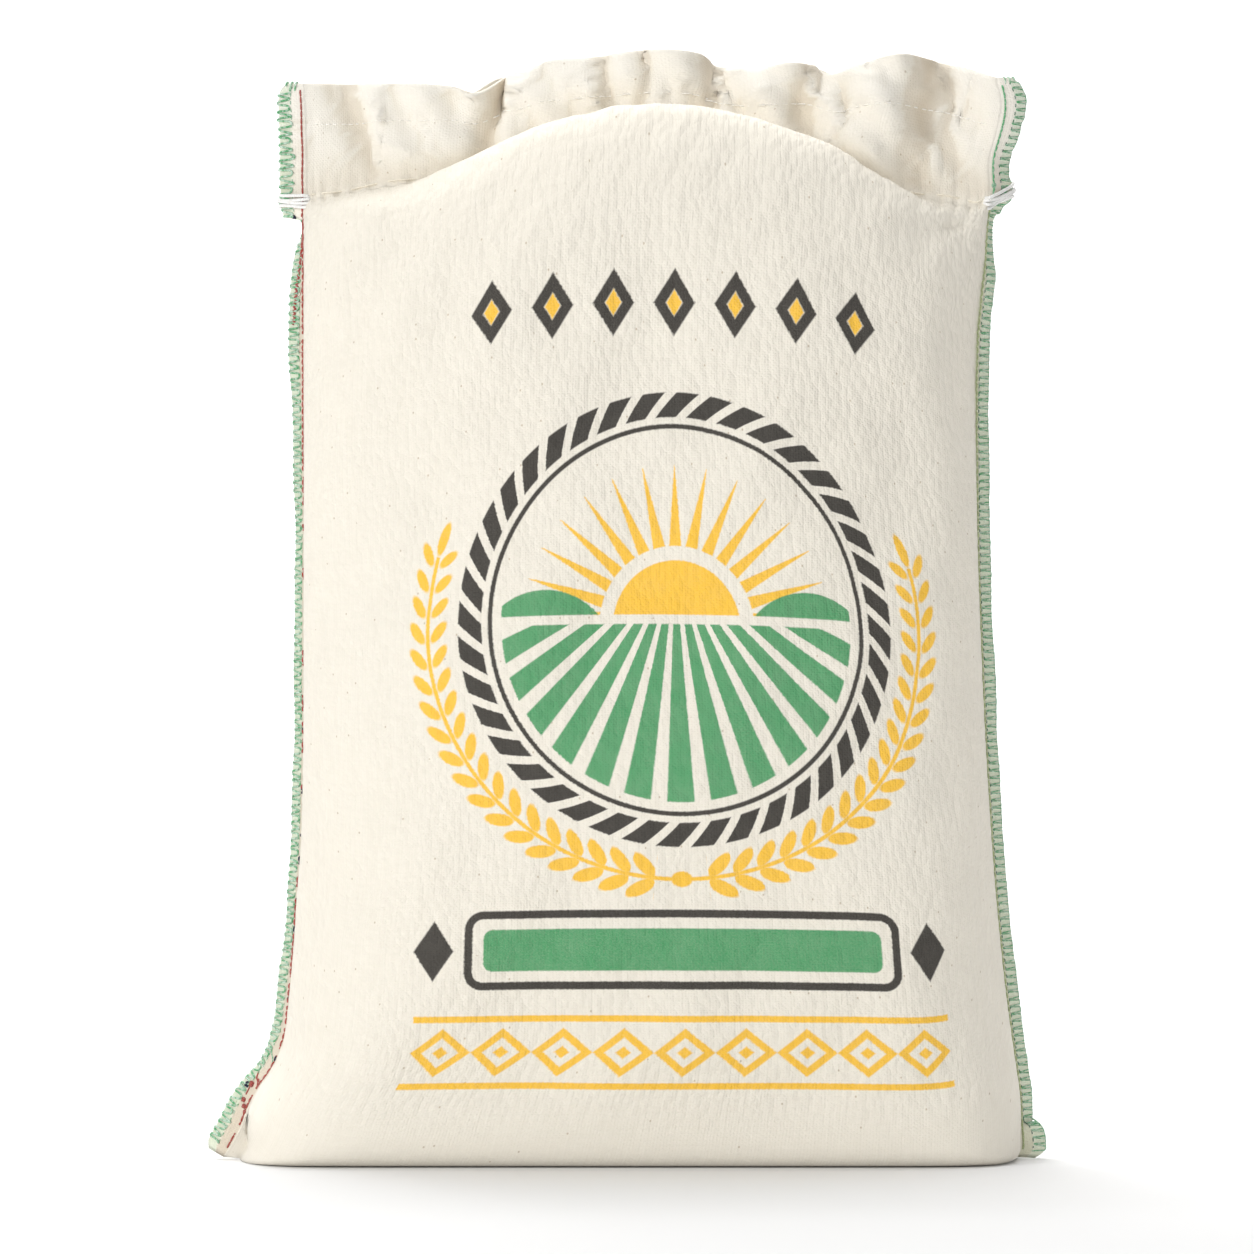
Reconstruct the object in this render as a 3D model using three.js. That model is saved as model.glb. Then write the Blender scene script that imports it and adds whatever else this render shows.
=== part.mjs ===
// A cotton sack filled with 10 kg of rice. It stands on its folded base, is sewn shut below
// its mouth, and has overlocked side seams. Millimetres, +Z up, printed front towards -Y,
// +X to the right as seen from the front.
import * as THREE from "three";

// Filled body
const filledHeight = 432; // floor to the two ends of the closing seam
const neckRise = 15; // how much higher the closing seam is at its middle
const frontDepth = 60; // from the side seams' plane to the front at its fullest
const backDepth = 56;
const frontSwell = 28; // how far the filling rises in front of the closing seam
const backSwell = 18;
const swellCentre = 0.06; // where the swelling is highest, as a share of the half width
const swellReach = 0.8; // where it dies out, as a share of the half width
const swellPower = 1.25; // more is a sharper peak

// Side seams, as seen from the front
const leftWidth = 145; // from the middle to the left seam, above the flare
const leftFlare = 37; // how much further the left seam runs out at the floor
const rightWaist = 156.5; // from the middle to the right seam at its narrowest
const rightWaistHeight = 330;
const rightSpread = 21.5; // widening from the waist down to the floor
const rightFlare = 6;
const rightTuck = 8; // drawn in again just above the floor
const rightShoulder = 5; // widening towards the top corner
const leftFlareHeight = 48; // height over which each of these fades
const rightFlareHeight = 35;
const rightTuckHeight = 10;
const rightShoulderHeight = 25;
const cornerLift = 3; // how far the empty corners lift off the floor
const liftEnd = 0.15; // level above which the lift is gone
const footHalf = [148, 31]; // half axes of the flat oval that it stands on
const footRise = 0.5; // how much higher the cloth is at twice that distance
const footEnd = 0.06; // level above which the oval no longer shows
const cornerStart = 0.93; // where the lift begins, as a share of the half width
const seamPlane = 0; // Y of the side seams

// Section squareness: 2 is an ellipse, and more is closer to a box
const bodySquareness = 2.7;
const baseSquareness = 11; // added at the floor
const squareFade = 45; // height over which that fades

// How the cloth runs into the side seams
const slopeReach = 0.02; // how far along a side seam its slope is taken, in levels
const slopeEnds = [0.98, 1.15]; // levels between which the allowance stands upright again
const climbPower = 14; // how late a row of the cloth climbs towards the side seam
const turnStart = 0.96; // where the cloth turns towards the allowance

// Cloth above the closing seam
const collarThickness = 3;
const collarLean = 5; // how far the mouth leans back
const collarSpreadLeft = 1.5; // how much wider the mouth is than the neck
const collarSpreadRight = 8;
const spreadEnds = [0.1, 0.7]; // shares of the collar's height between which the right end widens
const foldGrowth = 0.8; // 1 lets the folds grow evenly from the neck, less makes them deep sooner
const pressedFrom = 0.94; // share of the half width beyond which the two sheets lie flat together

// Side seam allowance and threads
const allowance = 11.5; // cloth outside the stitched line
const allowanceThickness = 1.8;
const edgingWidth = 5.4; // overlock thread over the raw edge
const edgingWall = 0.7;
const clearance = 0.3;
const edgingStart = allowance + clearance - edgingWidth;
const stitchRadius = 0.5;
const stitchInset = 1.6; // from the seam out to the thread on its front
const hemThreadRadius = 0.45;
const tieRadius = 0.8; // closing string
const tieLevel = 1.07;
const tieRise = [0.85, 0.95]; // shares of the half width between which it lifts over the seams
const tieTurn = 0.35; // how flat it turns round the raw edge: 0 is a point, 1 is square

// How far each allowance is turned back out of the front's plane: level and degrees, where
// level 0 is at the floor, 1 at the closing seam and 2 at the mouth.
const leftTurns = [
  [0, 42],
  [0.04, 16],
  [0.1, 44],
  [0.25, 60],
  [0.35, 64],
  [0.7, 64],
  [0.85, 57],
  [1, 30],
  [1.3, 14],
  [2, 10],
];
const rightTurns = [
  [0, 4],
  [0.03, 30],
  [0.07, 54],
  [0.25, 56],
  [0.4, 52],
  [0.7, 53],
  [0.9, 46],
  [1.1, 43],
  [1.5, 36],
  [2, 28],
];

// Profile of the sack from the middle of its base to the closing seam, as a spline frame:
// share of the depth, share of the height, share of the swelling above the closing seam.
const profileFrame = [
  [0.0, 0.0, 0.0],
  [0.3, 0.0, 0.0],
  [0.6, 0.0, 0.0],
  [0.86, 0.0, 0.0],
  [0.965, 0.018, 0.0],
  [1.0, 0.11, 0.0],
  [1.04, 0.33, 0.0],
  [1.01, 0.55, 0.0],
  [0.93, 0.75, 0.05],
  [0.81, 0.9, 0.28],
  [0.64, 0.975, 0.85],
  [0.36, 0.992, 1.42],
  [0.17, 0.996, 0.8],
  [0.09, 1.0, 0.02],
  [0.0, 1.0, 0.0],
];

// Folds of the mouth from left to right: where each is, how wide, and how far it turns the
// cloth back (positive) or forward (negative).
const mouthFolds = [
  { x: -132, width: 30, turn: 6 },
  { x: -106, width: 24, turn: -9 },
  { x: -57, width: 18, turn: 15 },
  { x: -36, width: 26, turn: -8 },
  { x: 6, width: 20, turn: -3 },
  { x: 33, width: 22, turn: 10 },
  { x: 54, width: 22, turn: -5 },
  { x: 78, width: 12, turn: 4 },
  { x: 98, width: 34, turn: -15 },
  { x: 135, width: 32, turn: 24 },
  { x: 158, width: 22, turn: -15 },
];
const mouthStart = -2; // Y of the mouth at its left end

// Height of the mouth's edge above the floor, from left to right
const mouthEdge = [
  [-160, 484],
  [-110, 485],
  [-70, 485],
  [-44, 494],
  [-12, 498],
  [24, 501],
  [46, 493],
  [66, 495],
  [92, 492],
  [118, 499],
  [146, 494],
  [184, 486],
];

const foldRow = 0.006; // first row beside the fold, as a share of the profile's length
const bodyRows = 33;
const rowBunching = 0.6; // how much closer the rows are at the fold and the closing seam
const collarRows = 6;
const hemRow = 4; // row of the collar that carries the hem's stitching
const hemInset = 2; // columns at either end without it
const bodyColumns = 48;
const columnBunching = 0.75; // how much closer the columns are at the side seams
const threadSides = 6;

const smooth = THREE.MathUtils.smoothstep;

// Weights of a clamped cubic B-spline's frame points at t from 0 to 1.
function splineWeights(count, t) {
  const spans = count - 3;
  const knot = (i) => THREE.MathUtils.clamp(i - 3, 0, spans);
  const at = Math.min(t * spans, spans - 1e-9);
  const weights = Array.from({ length: count + 3 }, (_, i) =>
    knot(i) <= at && at < knot(i + 1) ? 1 : 0,
  );
  for (let degree = 1; degree <= 3; degree++)
    for (let i = 0; i < count + 3 - degree; i++) {
      const before = knot(i + degree) - knot(i);
      const after = knot(i + degree + 1) - knot(i + 1);
      const rising = before ? ((at - knot(i)) / before) * weights[i] : 0;
      const falling = after ? ((knot(i + degree + 1) - at) / after) * weights[i + 1] : 0;
      weights[i] = rising + falling;
    }
  return weights.slice(0, count);
}

// The profile at t: shares of the depth, of the height and of the swelling.
function profileAt(t) {
  const weights = splineWeights(profileFrame.length, t);
  const sum = (k) => weights.reduce((total, w, i) => total + w * profileFrame[i][k], 0);
  return { depth: sum(0), level: sum(1), swelling: sum(2) };
}

// The least value from 0 to 1 at which a test comes true.
function bisect(reaches) {
  let low = 0;
  let high = 1;
  for (let halving = 0; halving < 40; halving++) {
    const middle = (low + high) / 2;
    if (reaches(middle)) high = middle;
    else low = middle;
  }
  return high;
}

// A level is a place along a side seam: 0 at the floor, 1 at the closing seam, 2 at the mouth.
const heightOf = (level) => Math.min(level, 1) * filledHeight;
const collarShare = (level) => Math.max(level - 1, 0);

function leftSeamX(level) {
  const flare = leftFlare * Math.exp(-heightOf(level) / leftFlareHeight);
  return -(leftWidth + flare + collarSpreadLeft * collarShare(level));
}

function rightSeamX(level) {
  const height = heightOf(level);
  const below = Math.max(rightWaistHeight - height, 0) / rightWaistHeight;
  const flare = rightFlare * Math.exp(-height / rightFlareHeight);
  const tuck = rightTuck * Math.exp(-height / rightTuckHeight);
  const corner = rightShoulder * Math.exp((height - filledHeight) / rightShoulderHeight);
  const mouth = collarSpreadRight * smooth(collarShare(level), ...spreadEnds);
  return rightWaist + rightSpread * below * below + flare - tuck + corner + mouth;
}

const seamX = (side, level) => (side < 0 ? leftSeamX(level) : rightSeamX(level));

// X of the point a share u (-1 to 1) of the way between the side seams.
function acrossX(u, level) {
  return THREE.MathUtils.lerp(leftSeamX(level), rightSeamX(level), (1 + u) / 2);
}

const closingHeight = (u) => filledHeight + neckRise * (1 - u * u);

function swell(u, most) {
  const from = (u - swellCentre) / swellReach;
  return most * Math.pow(Math.max(1 - from * from, 0), swellPower);
}

// How full the sack is at u, as a share of its depth there: a rounded box section.
function fullness(u, height) {
  const power = bodySquareness + baseSquareness * Math.exp(-height / squareFade);
  return Math.sqrt(Math.max(1 - Math.pow(Math.abs(u), power), 0));
}

// Y of the mouth's cloth: each fold steps it back or forward.
function mouthY(x) {
  const step = (sum, f) => sum + f.turn * smooth(x, f.x - f.width / 2, f.x + f.width / 2);
  return mouthFolds.reduce(step, mouthStart);
}

// A smooth curve through a list of [place, value], read at a place.
function reader(list) {
  const curve = new THREE.SplineCurve(list.map(([at, value]) => new THREE.Vector2(at, value)));
  return (at) => curve.getPoint(bisect((t) => curve.getPoint(t).x >= at)).y;
}

const mouthHeight = reader(mouthEdge);
const leftTurn = reader(leftTurns);
const rightTurn = reader(rightTurns);

// The allowance's frame on a side seam: root is on the stitched line, out points away from
// the sack in the plane of the cloth, and face is the cloth's front normal.
function seamFrame(side, level) {
  const low = THREE.MathUtils.clamp(level - slopeReach, 0, 1 - 2 * slopeReach);
  const high = low + 2 * slopeReach;
  const slope = (seamX(side, high) - seamX(side, low)) / (heightOf(high) - heightOf(low));
  const upright = 1 - smooth(level, ...slopeEnds);
  const across = new THREE.Vector3(side, 0, -side * slope * upright).normalize();
  const turn = THREE.MathUtils.degToRad(side < 0 ? leftTurn(level) : rightTurn(level));
  const back = new THREE.Vector3(0, 1, 0);
  const out = across.clone().multiplyScalar(Math.cos(turn)).addScaledVector(back, Math.sin(turn));
  const face = across.multiplyScalar(Math.sin(turn)).addScaledVector(back, -Math.cos(turn));
  return { root: collarOrBodyRoot(side, level), out, face };
}

function collarOrBodyRoot(side, level) {
  const x = seamX(side, level);
  const q = collarShare(level);
  if (q > 0) return collarMiddle(side, level);
  const lift = cornerLift * (1 - smooth(level, 0, liftEnd));
  return new THREE.Vector3(x, seamPlane, heightOf(level) + lift);
}

// The middle of the collar's cloth at u across and a level from 1 to 2.
function collarMiddle(u, level) {
  const q = collarShare(level);
  const x = acrossX(u, level);
  const z = THREE.MathUtils.lerp(closingHeight(u), mouthHeight(x), q);
  const y = seamPlane + collarLean * q + mouthY(x) * Math.pow(q, foldGrowth);
  return new THREE.Vector3(x, y, z);
}

// A point on the collar: facing is 1 for the front and -1 for the back.
function collarPoint(u, level, facing, offset) {
  const step = 0.004;
  const left = collarMiddle(Math.max(u - step, -1), level);
  const right = collarMiddle(Math.min(u + step, 1), level);
  const along = right.sub(left).setZ(0).normalize();
  const normal = new THREE.Vector3(along.y, -along.x, 0);
  return collarMiddle(u, level).addScaledVector(normal, facing * offset);
}

// How far the base is clear of the floor outside the oval that the sack stands on.
function footClearance(x, y, level) {
  const middle = (seamX(-1, 0) + seamX(1, 0)) / 2;
  const far = Math.hypot((x - middle) / footHalf[0], (y - seamPlane) / footHalf[1]);
  return footRise * Math.pow(Math.max(far - 1, 0), 2) * (1 - smooth(level, 0, footEnd));
}

// A point on the filled body at u across on a row of the cloth. Towards a side seam the row
// climbs from its place on the profile to its level on the seam.
function bodyPoint(u, row, facing) {
  const climb = Math.pow(Math.abs(u), climbPower);
  const { depth, level, swelling } = profileAt(THREE.MathUtils.lerp(row.t, row.seamT, climb));
  const most = facing > 0 ? frontSwell : backSwell;
  const deepest = facing > 0 ? frontDepth : backDepth;
  const corner = smooth(Math.abs(u), cornerStart, 1) * (1 - smooth(level, 0, liftEnd));
  const height = level * closingHeight(u) + swelling * swell(u, most) + cornerLift * corner;
  const { face } = seamFrame(Math.sign(u) || 1, level);
  const front = new THREE.Vector3(0, -1, 0);
  const normal = front.clone().lerp(face, smooth(Math.abs(u), turnStart, 1)).normalize();
  const point = new THREE.Vector3(acrossX(u, level), seamPlane, height)
    .addScaledVector(front, facing * deepest * depth * fullness(u, heightOf(level)))
    .addScaledVector(normal, facing * row.wall);
  point.z += footClearance(point.x, point.y, level);
  return point;
}

// A point on the seam allowance, a distance out from the stitched line.
function allowancePoint(side, level, distance, facing, wall) {
  const { root, out, face } = seamFrame(side, level);
  return root.addScaledVector(out, distance).addScaledVector(face, facing * wall);
}

// The rows of the cloth from the fold under the base to the mouth: t is a row's place on the
// profile, and seamT and level its place on the side seams, as far along as on the flat cloth.
function clothRows() {
  const samples = 400;
  const lengths = [0];
  const place = (t) => {
    const { depth, level } = profileAt(t);
    return new THREE.Vector2(depth * frontDepth, level * closingHeight(0));
  };
  for (let i = 1; i <= samples; i++)
    lengths.push(lengths[i - 1] + place(i / samples).distanceTo(place((i - 1) / samples)));
  const along = (share) => {
    const next = lengths.findIndex((length) => length >= share * lengths[samples]);
    if (next <= 0) return 0;
    const part = (share * lengths[samples] - lengths[next - 1]) / (lengths[next] - lengths[next - 1]);
    return (next - 1 + part) / samples;
  };
  const shares = [0, foldRow];
  for (let i = 1; i <= bodyRows; i++) {
    const even = (2 * Math.PI * i) / bodyRows;
    shares.push((even - rowBunching * Math.sin(even)) / (2 * Math.PI));
  }
  const rows = shares.map((share, i) => ({
    t: along(share),
    seamT: i === 0 ? 0 : bisect((t) => profileAt(t).level >= share),
    level: share,
    wall: i === 0 ? 0 : allowanceThickness / 2,
  }));
  for (let i = 1; i <= collarRows; i++)
    rows.push({ level: 1 + i / collarRows, wall: allowanceThickness / 2 });
  return rows;
}

// Places across the body from seam to seam, closer together near the seams.
function placesAcross() {
  return Array.from({ length: bodyColumns + 1 }, (_, i) => {
    const t = (2 * i) / bodyColumns - 1;
    return THREE.MathUtils.lerp(t, Math.sin((Math.PI / 2) * t), columnBunching);
  });
}

// The columns of the cloth: the body's, with two of the seam allowance on either side.
function clothColumns() {
  return [
    { side: -1, distance: allowance },
    { side: -1, distance: edgingStart },
    ...placesAcross().map((u) => ({ u })),
    { side: 1, distance: edgingStart },
    { side: 1, distance: allowance },
  ];
}

function clothPoint(row, column, facing) {
  if (column.side !== undefined)
    return allowancePoint(column.side, row.level, column.distance, facing, row.wall);
  if (row.t !== undefined) return bodyPoint(column.u, row, facing);
  const nearSeam = smooth(Math.abs(column.u), pressedFrom, 1);
  const half = THREE.MathUtils.lerp(collarThickness, allowanceThickness, nearSeam) / 2;
  return collarPoint(column.u, row.level, facing, half);
}

function meshGeometry(points, triangles) {
  const geometry = new THREE.BufferGeometry().setFromPoints(points);
  geometry.setIndex(triangles);
  geometry.computeVertexNormals();
  return geometry;
}

// The whole cloth: a front and a back sheet that share the fold under the base, closed along
// the mouth and along both raw edges.
function sackGeometry() {
  const rows = clothRows();
  const columns = clothColumns();
  const points = [];
  const grid = (facing) =>
    rows.map((row, r) =>
      columns.map((column) => {
        const shared = r === 0 && facing < 0;
        return shared ? -1 : points.push(clothPoint(row, column, facing)) - 1;
      }),
    );
  const front = grid(1);
  const back = grid(-1);
  back[0] = front[0];
  const triangles = [];
  const quad = (a, b, c, d) => {
    if (a !== b) triangles.push(a, b, c);
    if (c !== d) triangles.push(a, c, d);
  };
  const lastRow = rows.length - 1;
  const lastColumn = columns.length - 1;
  for (let r = 0; r < lastRow; r++) {
    for (let c = 0; c < lastColumn; c++) {
      quad(front[r][c], front[r][c + 1], front[r + 1][c + 1], front[r + 1][c]);
      quad(back[r][c + 1], back[r][c], back[r + 1][c], back[r + 1][c + 1]);
    }
    quad(back[r][0], front[r][0], front[r + 1][0], back[r + 1][0]);
    quad(front[r][lastColumn], back[r][lastColumn], back[r + 1][lastColumn], front[r + 1][lastColumn]);
  }
  for (let c = 0; c < lastColumn; c++)
    quad(front[lastRow][c], front[lastRow][c + 1], back[lastRow][c + 1], back[lastRow][c]);
  return meshGeometry(points, triangles);
}

// A closed strip: the same ring of points at each station, with flat ends.
function sweptGeometry(rings, closed = false) {
  const size = rings[0].length;
  const points = rings.flat();
  const triangles = [];
  const stations = closed ? rings.length : rings.length - 1;
  for (let s = 0; s < stations; s++)
    for (let i = 0; i < size; i++) {
      const a = s * size + i;
      const b = s * size + ((i + 1) % size);
      const c = ((s + 1) % rings.length) * size + ((i + 1) % size);
      const d = ((s + 1) % rings.length) * size + i;
      triangles.push(a, b, d, b, c, d);
    }
  if (!closed) {
    const end = (rings.length - 1) * size;
    for (const [i, j, k] of capTriangles(size)) {
      triangles.push(i, k, j);
      triangles.push(end + i, end + j, end + k);
    }
  }
  return meshGeometry(points, triangles);
}

// Triangles over an end: three squares for the U of an edging, and a fan for a round thread.
function capTriangles(size) {
  if (size !== threadSides)
    return [
      [0, 1, 6],
      [0, 6, 7],
      [1, 2, 5],
      [1, 5, 6],
      [2, 3, 4],
      [2, 4, 5],
    ];
  return Array.from({ length: size - 2 }, (_, i) => [0, i + 1, i + 2]);
}

// Overlock thread round the raw edge: a U section over the allowance's last few millimetres.
function edgingGeometry(side) {
  const inner = allowanceThickness / 2 + clearance;
  const outer = inner + edgingWall;
  const from = edgingStart;
  const to = allowance + clearance + edgingWall;
  const slot = allowance + clearance;
  const section = [
    [from, outer],
    [to, outer],
    [to, -outer],
    [from, -outer],
    [from, -inner],
    [slot, -inner],
    [slot, inner],
    [from, inner],
  ];
  const levels = clothRows().slice(1).map((row) => row.level);
  const rings = levels.map((level) => {
    const ring = section.map(([distance, wall]) => allowancePoint(side, level, distance, 1, wall));
    return side > 0 ? ring : ring.reverse();
  });
  return sweptGeometry(rings);
}

// A round thread along a path of points.
function threadGeometry(path, radius, closed = false) {
  const curve = new THREE.CatmullRomCurve3(path, closed);
  const frames = path.map((point, i) => {
    const at = closed ? i / path.length : i / (path.length - 1);
    const along = curve.getTangent(at);
    const upright = Math.abs(along.z) > 0.98;
    const across = upright ? new THREE.Vector3(0, 1, 0) : new THREE.Vector3(0, 0, 1);
    const first = across.cross(along);
    first.normalize();
    return { point, first, second: along.clone().cross(first).normalize() };
  });
  for (let i = 1; i < frames.length; i++) {
    const before = frames[i - 1];
    const frame = frames[i];
    const along = frame.first.clone().cross(frame.second);
    frame.first.copy(before.first).addScaledVector(along, -before.first.dot(along)).normalize();
    frame.second.copy(along.cross(frame.first)).normalize();
  }
  const rings = frames.map(({ point, first, second }) =>
    Array.from({ length: threadSides }, (_, i) => {
      const angle = (2 * Math.PI * i) / threadSides;
      return point
        .clone()
        .addScaledVector(first, radius * Math.cos(angle))
        .addScaledVector(second, radius * Math.sin(angle));
    }),
  );
  return sweptGeometry(rings, closed);
}

// The chain stitch that joins the two sheets, on the front of the allowance beside the body.
function sideStitchGeometry(side) {
  const wall = allowanceThickness / 2 + clearance + stitchRadius;
  const levels = clothRows().slice(1).map((row) => row.level);
  const path = levels.map((level) => allowancePoint(side, level, stitchInset, 1, wall));
  return threadGeometry(path, stitchRadius);
}

// The string of the closing seam: once round the neck, over both side seams.
function closingStringGeometry() {
  const steps = 30;
  const sharesOut = [0, 0.3, 0.6, 0.92];
  const over = allowanceThickness / 2 + 2 * (clearance + stitchRadius + clearance) + tieRadius;
  const round = allowance + clearance + edgingWall + clearance + tieRadius;
  const near = collarThickness / 2 + clearance + tieRadius;
  const halfLoop = (facing) => {
    const path = [];
    for (let i = 0; i <= steps; i++) {
      const u = facing * ((2 * i) / steps - 1) * tieRise[1];
      const offset = THREE.MathUtils.lerp(near, over, smooth(Math.abs(u), ...tieRise));
      path.push(collarPoint(u, tieLevel, facing, offset));
    }
    for (const share of sharesOut)
      path.push(allowancePoint(facing, tieLevel, share * round, facing, over));
    path.push(allowancePoint(facing, tieLevel, round, facing, over * tieTurn));
    path.push(allowancePoint(facing, tieLevel, round, -facing, over * tieTurn));
    for (const share of sharesOut.toReversed())
      path.push(allowancePoint(facing, tieLevel, share * round, -facing, over));
    return path;
  };
  return threadGeometry([...halfLoop(1), ...halfLoop(-1)], tieRadius, true);
}

// The hem's stitching on one face of the collar.
function hemStitchGeometry(facing) {
  const offset = collarThickness / 2 + clearance + hemThreadRadius;
  const places = placesAcross().slice(hemInset, -hemInset);
  const path = places.map((u) => collarPoint(u, 1 + hemRow / collarRows, facing, offset));
  return threadGeometry(path, hemThreadRadius);
}

const cotton = new THREE.MeshStandardMaterial({ color: 0xefe8da, roughness: 0.95, metalness: 0 });
const greenThread = new THREE.MeshStandardMaterial({ color: 0x5fb07a, roughness: 0.8, metalness: 0 });
const redThread = new THREE.MeshStandardMaterial({ color: 0xa5362d, roughness: 0.8, metalness: 0 });
const whiteThread = new THREE.MeshStandardMaterial({ color: 0xf2efe8, roughness: 0.85, metalness: 0 });

const sack = new THREE.Group();
function add(name, geometry, material) {
  const mesh = new THREE.Mesh(geometry, material);
  mesh.name = name;
  sack.add(mesh);
}

add("sack", sackGeometry(), cotton);
add("edging_left", edgingGeometry(-1), greenThread);
add("edging_right", edgingGeometry(1), greenThread);
add("side_stitch_left", sideStitchGeometry(-1), redThread);
add("side_stitch_right", sideStitchGeometry(1), greenThread);
add("closing_string", closingStringGeometry(), whiteThread);
add("hem_stitch_front", hemStitchGeometry(1), whiteThread);
add("hem_stitch_back", hemStitchGeometry(-1), whiteThread);

// The origin is on the floor, under the middle of the whole.
const bounds = new THREE.Box3().setFromObject(sack);
const middle = bounds.getCenter(new THREE.Vector3());
for (const mesh of sack.children) mesh.geometry.translate(-middle.x, -middle.y, 0);

export default sack;
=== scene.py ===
"""A printed cotton sack of rice, sewn shut below its mouth, as a Blender add-on that is run as a script."""

import bpy
import numpy as np
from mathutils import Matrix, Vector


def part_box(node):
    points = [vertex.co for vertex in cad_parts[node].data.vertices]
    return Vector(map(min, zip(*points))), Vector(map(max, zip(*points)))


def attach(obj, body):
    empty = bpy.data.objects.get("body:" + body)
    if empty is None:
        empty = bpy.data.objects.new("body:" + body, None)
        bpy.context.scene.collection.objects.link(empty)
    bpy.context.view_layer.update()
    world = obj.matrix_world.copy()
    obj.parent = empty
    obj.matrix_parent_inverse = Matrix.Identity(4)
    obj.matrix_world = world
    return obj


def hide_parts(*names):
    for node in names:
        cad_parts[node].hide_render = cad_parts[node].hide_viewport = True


bl_info = {
    "name": "Cotton sack of rice",
    "version": (1, 0, 0),
    "blender": (4, 5, 0),
    "location": "View3D > Sidebar > Sack",
    "description": "Makes a printed cotton sack of rice with its seams and threads",
    "category": "Add Mesh",
}

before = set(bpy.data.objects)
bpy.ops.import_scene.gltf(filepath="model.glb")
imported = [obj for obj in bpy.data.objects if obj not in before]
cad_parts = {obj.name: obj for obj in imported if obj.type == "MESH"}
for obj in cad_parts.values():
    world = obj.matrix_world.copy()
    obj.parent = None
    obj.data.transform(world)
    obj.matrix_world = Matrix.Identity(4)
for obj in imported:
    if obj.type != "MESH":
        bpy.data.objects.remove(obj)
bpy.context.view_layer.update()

MM = 0.001

# Profile of the sack from the middle of its base to the closing seam, as a spline frame:
# share of the depth, share of the height, share of the swelling above the closing seam.
PROFILE_FRAME = [
    (0.0, 0.0, 0.0),
    (0.3, 0.0, 0.0),
    (0.6, 0.0, 0.0),
    (0.86, 0.0, 0.0),
    (0.965, 0.018, 0.0),
    (1.0, 0.11, 0.0),
    (1.04, 0.33, 0.0),
    (1.01, 0.55, 0.0),
    (0.93, 0.75, 0.05),
    (0.81, 0.9, 0.28),
    (0.64, 0.975, 0.85),
    (0.36, 0.992, 1.42),
    (0.17, 0.996, 0.8),
    (0.09, 1.0, 0.02),
    (0.0, 1.0, 0.0),
]

# How far each seam allowance is turned back: level (0 floor, 1 closing seam, 2 mouth), degrees of the
# strip beside the stitching, degrees of the overlocked edge.
LEFT_TURNS = [
    (0.0, 8, 25),
    (0.033, 14, 35),
    (0.05, 33, 36),
    (0.084, 48, 60),
    (0.1, 46, 62),
    (0.116, 48, 56),
    (0.13, 60, 36),
    (0.157, 66, 44),
    (0.2, 74, 42),
    (0.26, 80, 45),
    (0.68, 80, 48),
    (0.75, 76, 43),
    (0.8, 70, 36),
    (0.85, 65, 26),
    (0.9, 69, 31),
    (0.926, 74, 38),
    (0.95, 80, 52),
    (0.972, 86, 84),
    (0.984, 76, 70),
    (0.991, 26, 22),
    (1.1, 10, 12),
    (2.0, 6, 8),
]
RIGHT_TURNS = [
    (0.0, 5, 5),
    (0.02, 10, 6),
    (0.03, 35, 8),
    (0.038, 70, 22),
    (0.05, 77, 30),
    (0.3, 77, 30),
    (0.65, 77, 24),
    (0.86, 72, 32),
    (0.92, 71, 37),
    (0.94, 85, 42),
    (0.96, 88, 54),
    (0.98, 88, 56),
    (0.989, 86, 48),
    (0.995, 75, 30),
    (1.04, 48, 34),
    (1.3, 46, 32),
    (1.45, 40, 36),
    (1.55, 22, 40),
    (1.75, 15, 36),
    (2.0, 12, 20),
]

# How much further out than at their narrowest the side seams run: height, distance, in millimetres.
LEFT_SPREAD = [
    (0, 37),
    (5, 33.4),
    (14, 28.6),
    (22, 25.4),
    (31, 20.6),
    (39, 15.2),
    (45, 12),
    (52, 9.4),
    (59, 7.9),
    (76, 6.2),
    (97, 4.4),
    (119, 3),
    (141, 1.3),
    (170, 0.4),
    (220, 0),
    (432, 0),
    (485, 1.5),
]
RIGHT_SPREAD = [
    (0, 19.3),
    (2, 20.2),
    (5, 21),
    (9, 20.8),
    (14, 20.4),
    (22, 20.3),
    (31, 19.6),
    (39, 18.5),
    (52, 16.6),
    (80, 12.9),
    (120, 8.9),
    (160, 6),
    (200, 3.7),
    (240, 2),
    (279, 0.7),
    (330, 0),
    (365, 0.3),
    (387, 1.9),
    (405, 4),
    (426, 5.5),
    (436, 7.4),
    (446, 7.2),
    (451, 7.7),
    (460, 10.3),
    (470, 12.6),
    (477, 12.8),
    (485, 10.8),
]

# Folds of the collar's cloth, in millimetres: X at the mouth, width, how far each steps the cloth
# back, and how much further right it starts at the neck.
COLLAR_FOLDS = [
    (-136, 24, 7, 14),
    (-118, 8, -6, 10),
    (-100, 22, -4, -4),
    (-62, 17, 16, -9),
    (-51, 4, -10, -9),
    (-36, 20, -3, 3),
    (-14, 9, 3, 2),
    (-5, 8, -3, 2),
    (4, 8, 3, -1),
    (13, 9, -3.5, -2),
    (31, 16, 11, -2),
    (47, 9, -4, -5),
    (60, 14, -4, -6),
    (77, 12, 7, -8),
    (91, 9, -6, -6),
    (107, 20, -10, -9),
    (131, 22, 23, -7),
    (150, 8, -5, 3),
    (161, 18, -12, 4),
]
MOUTH_START = -2

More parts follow.
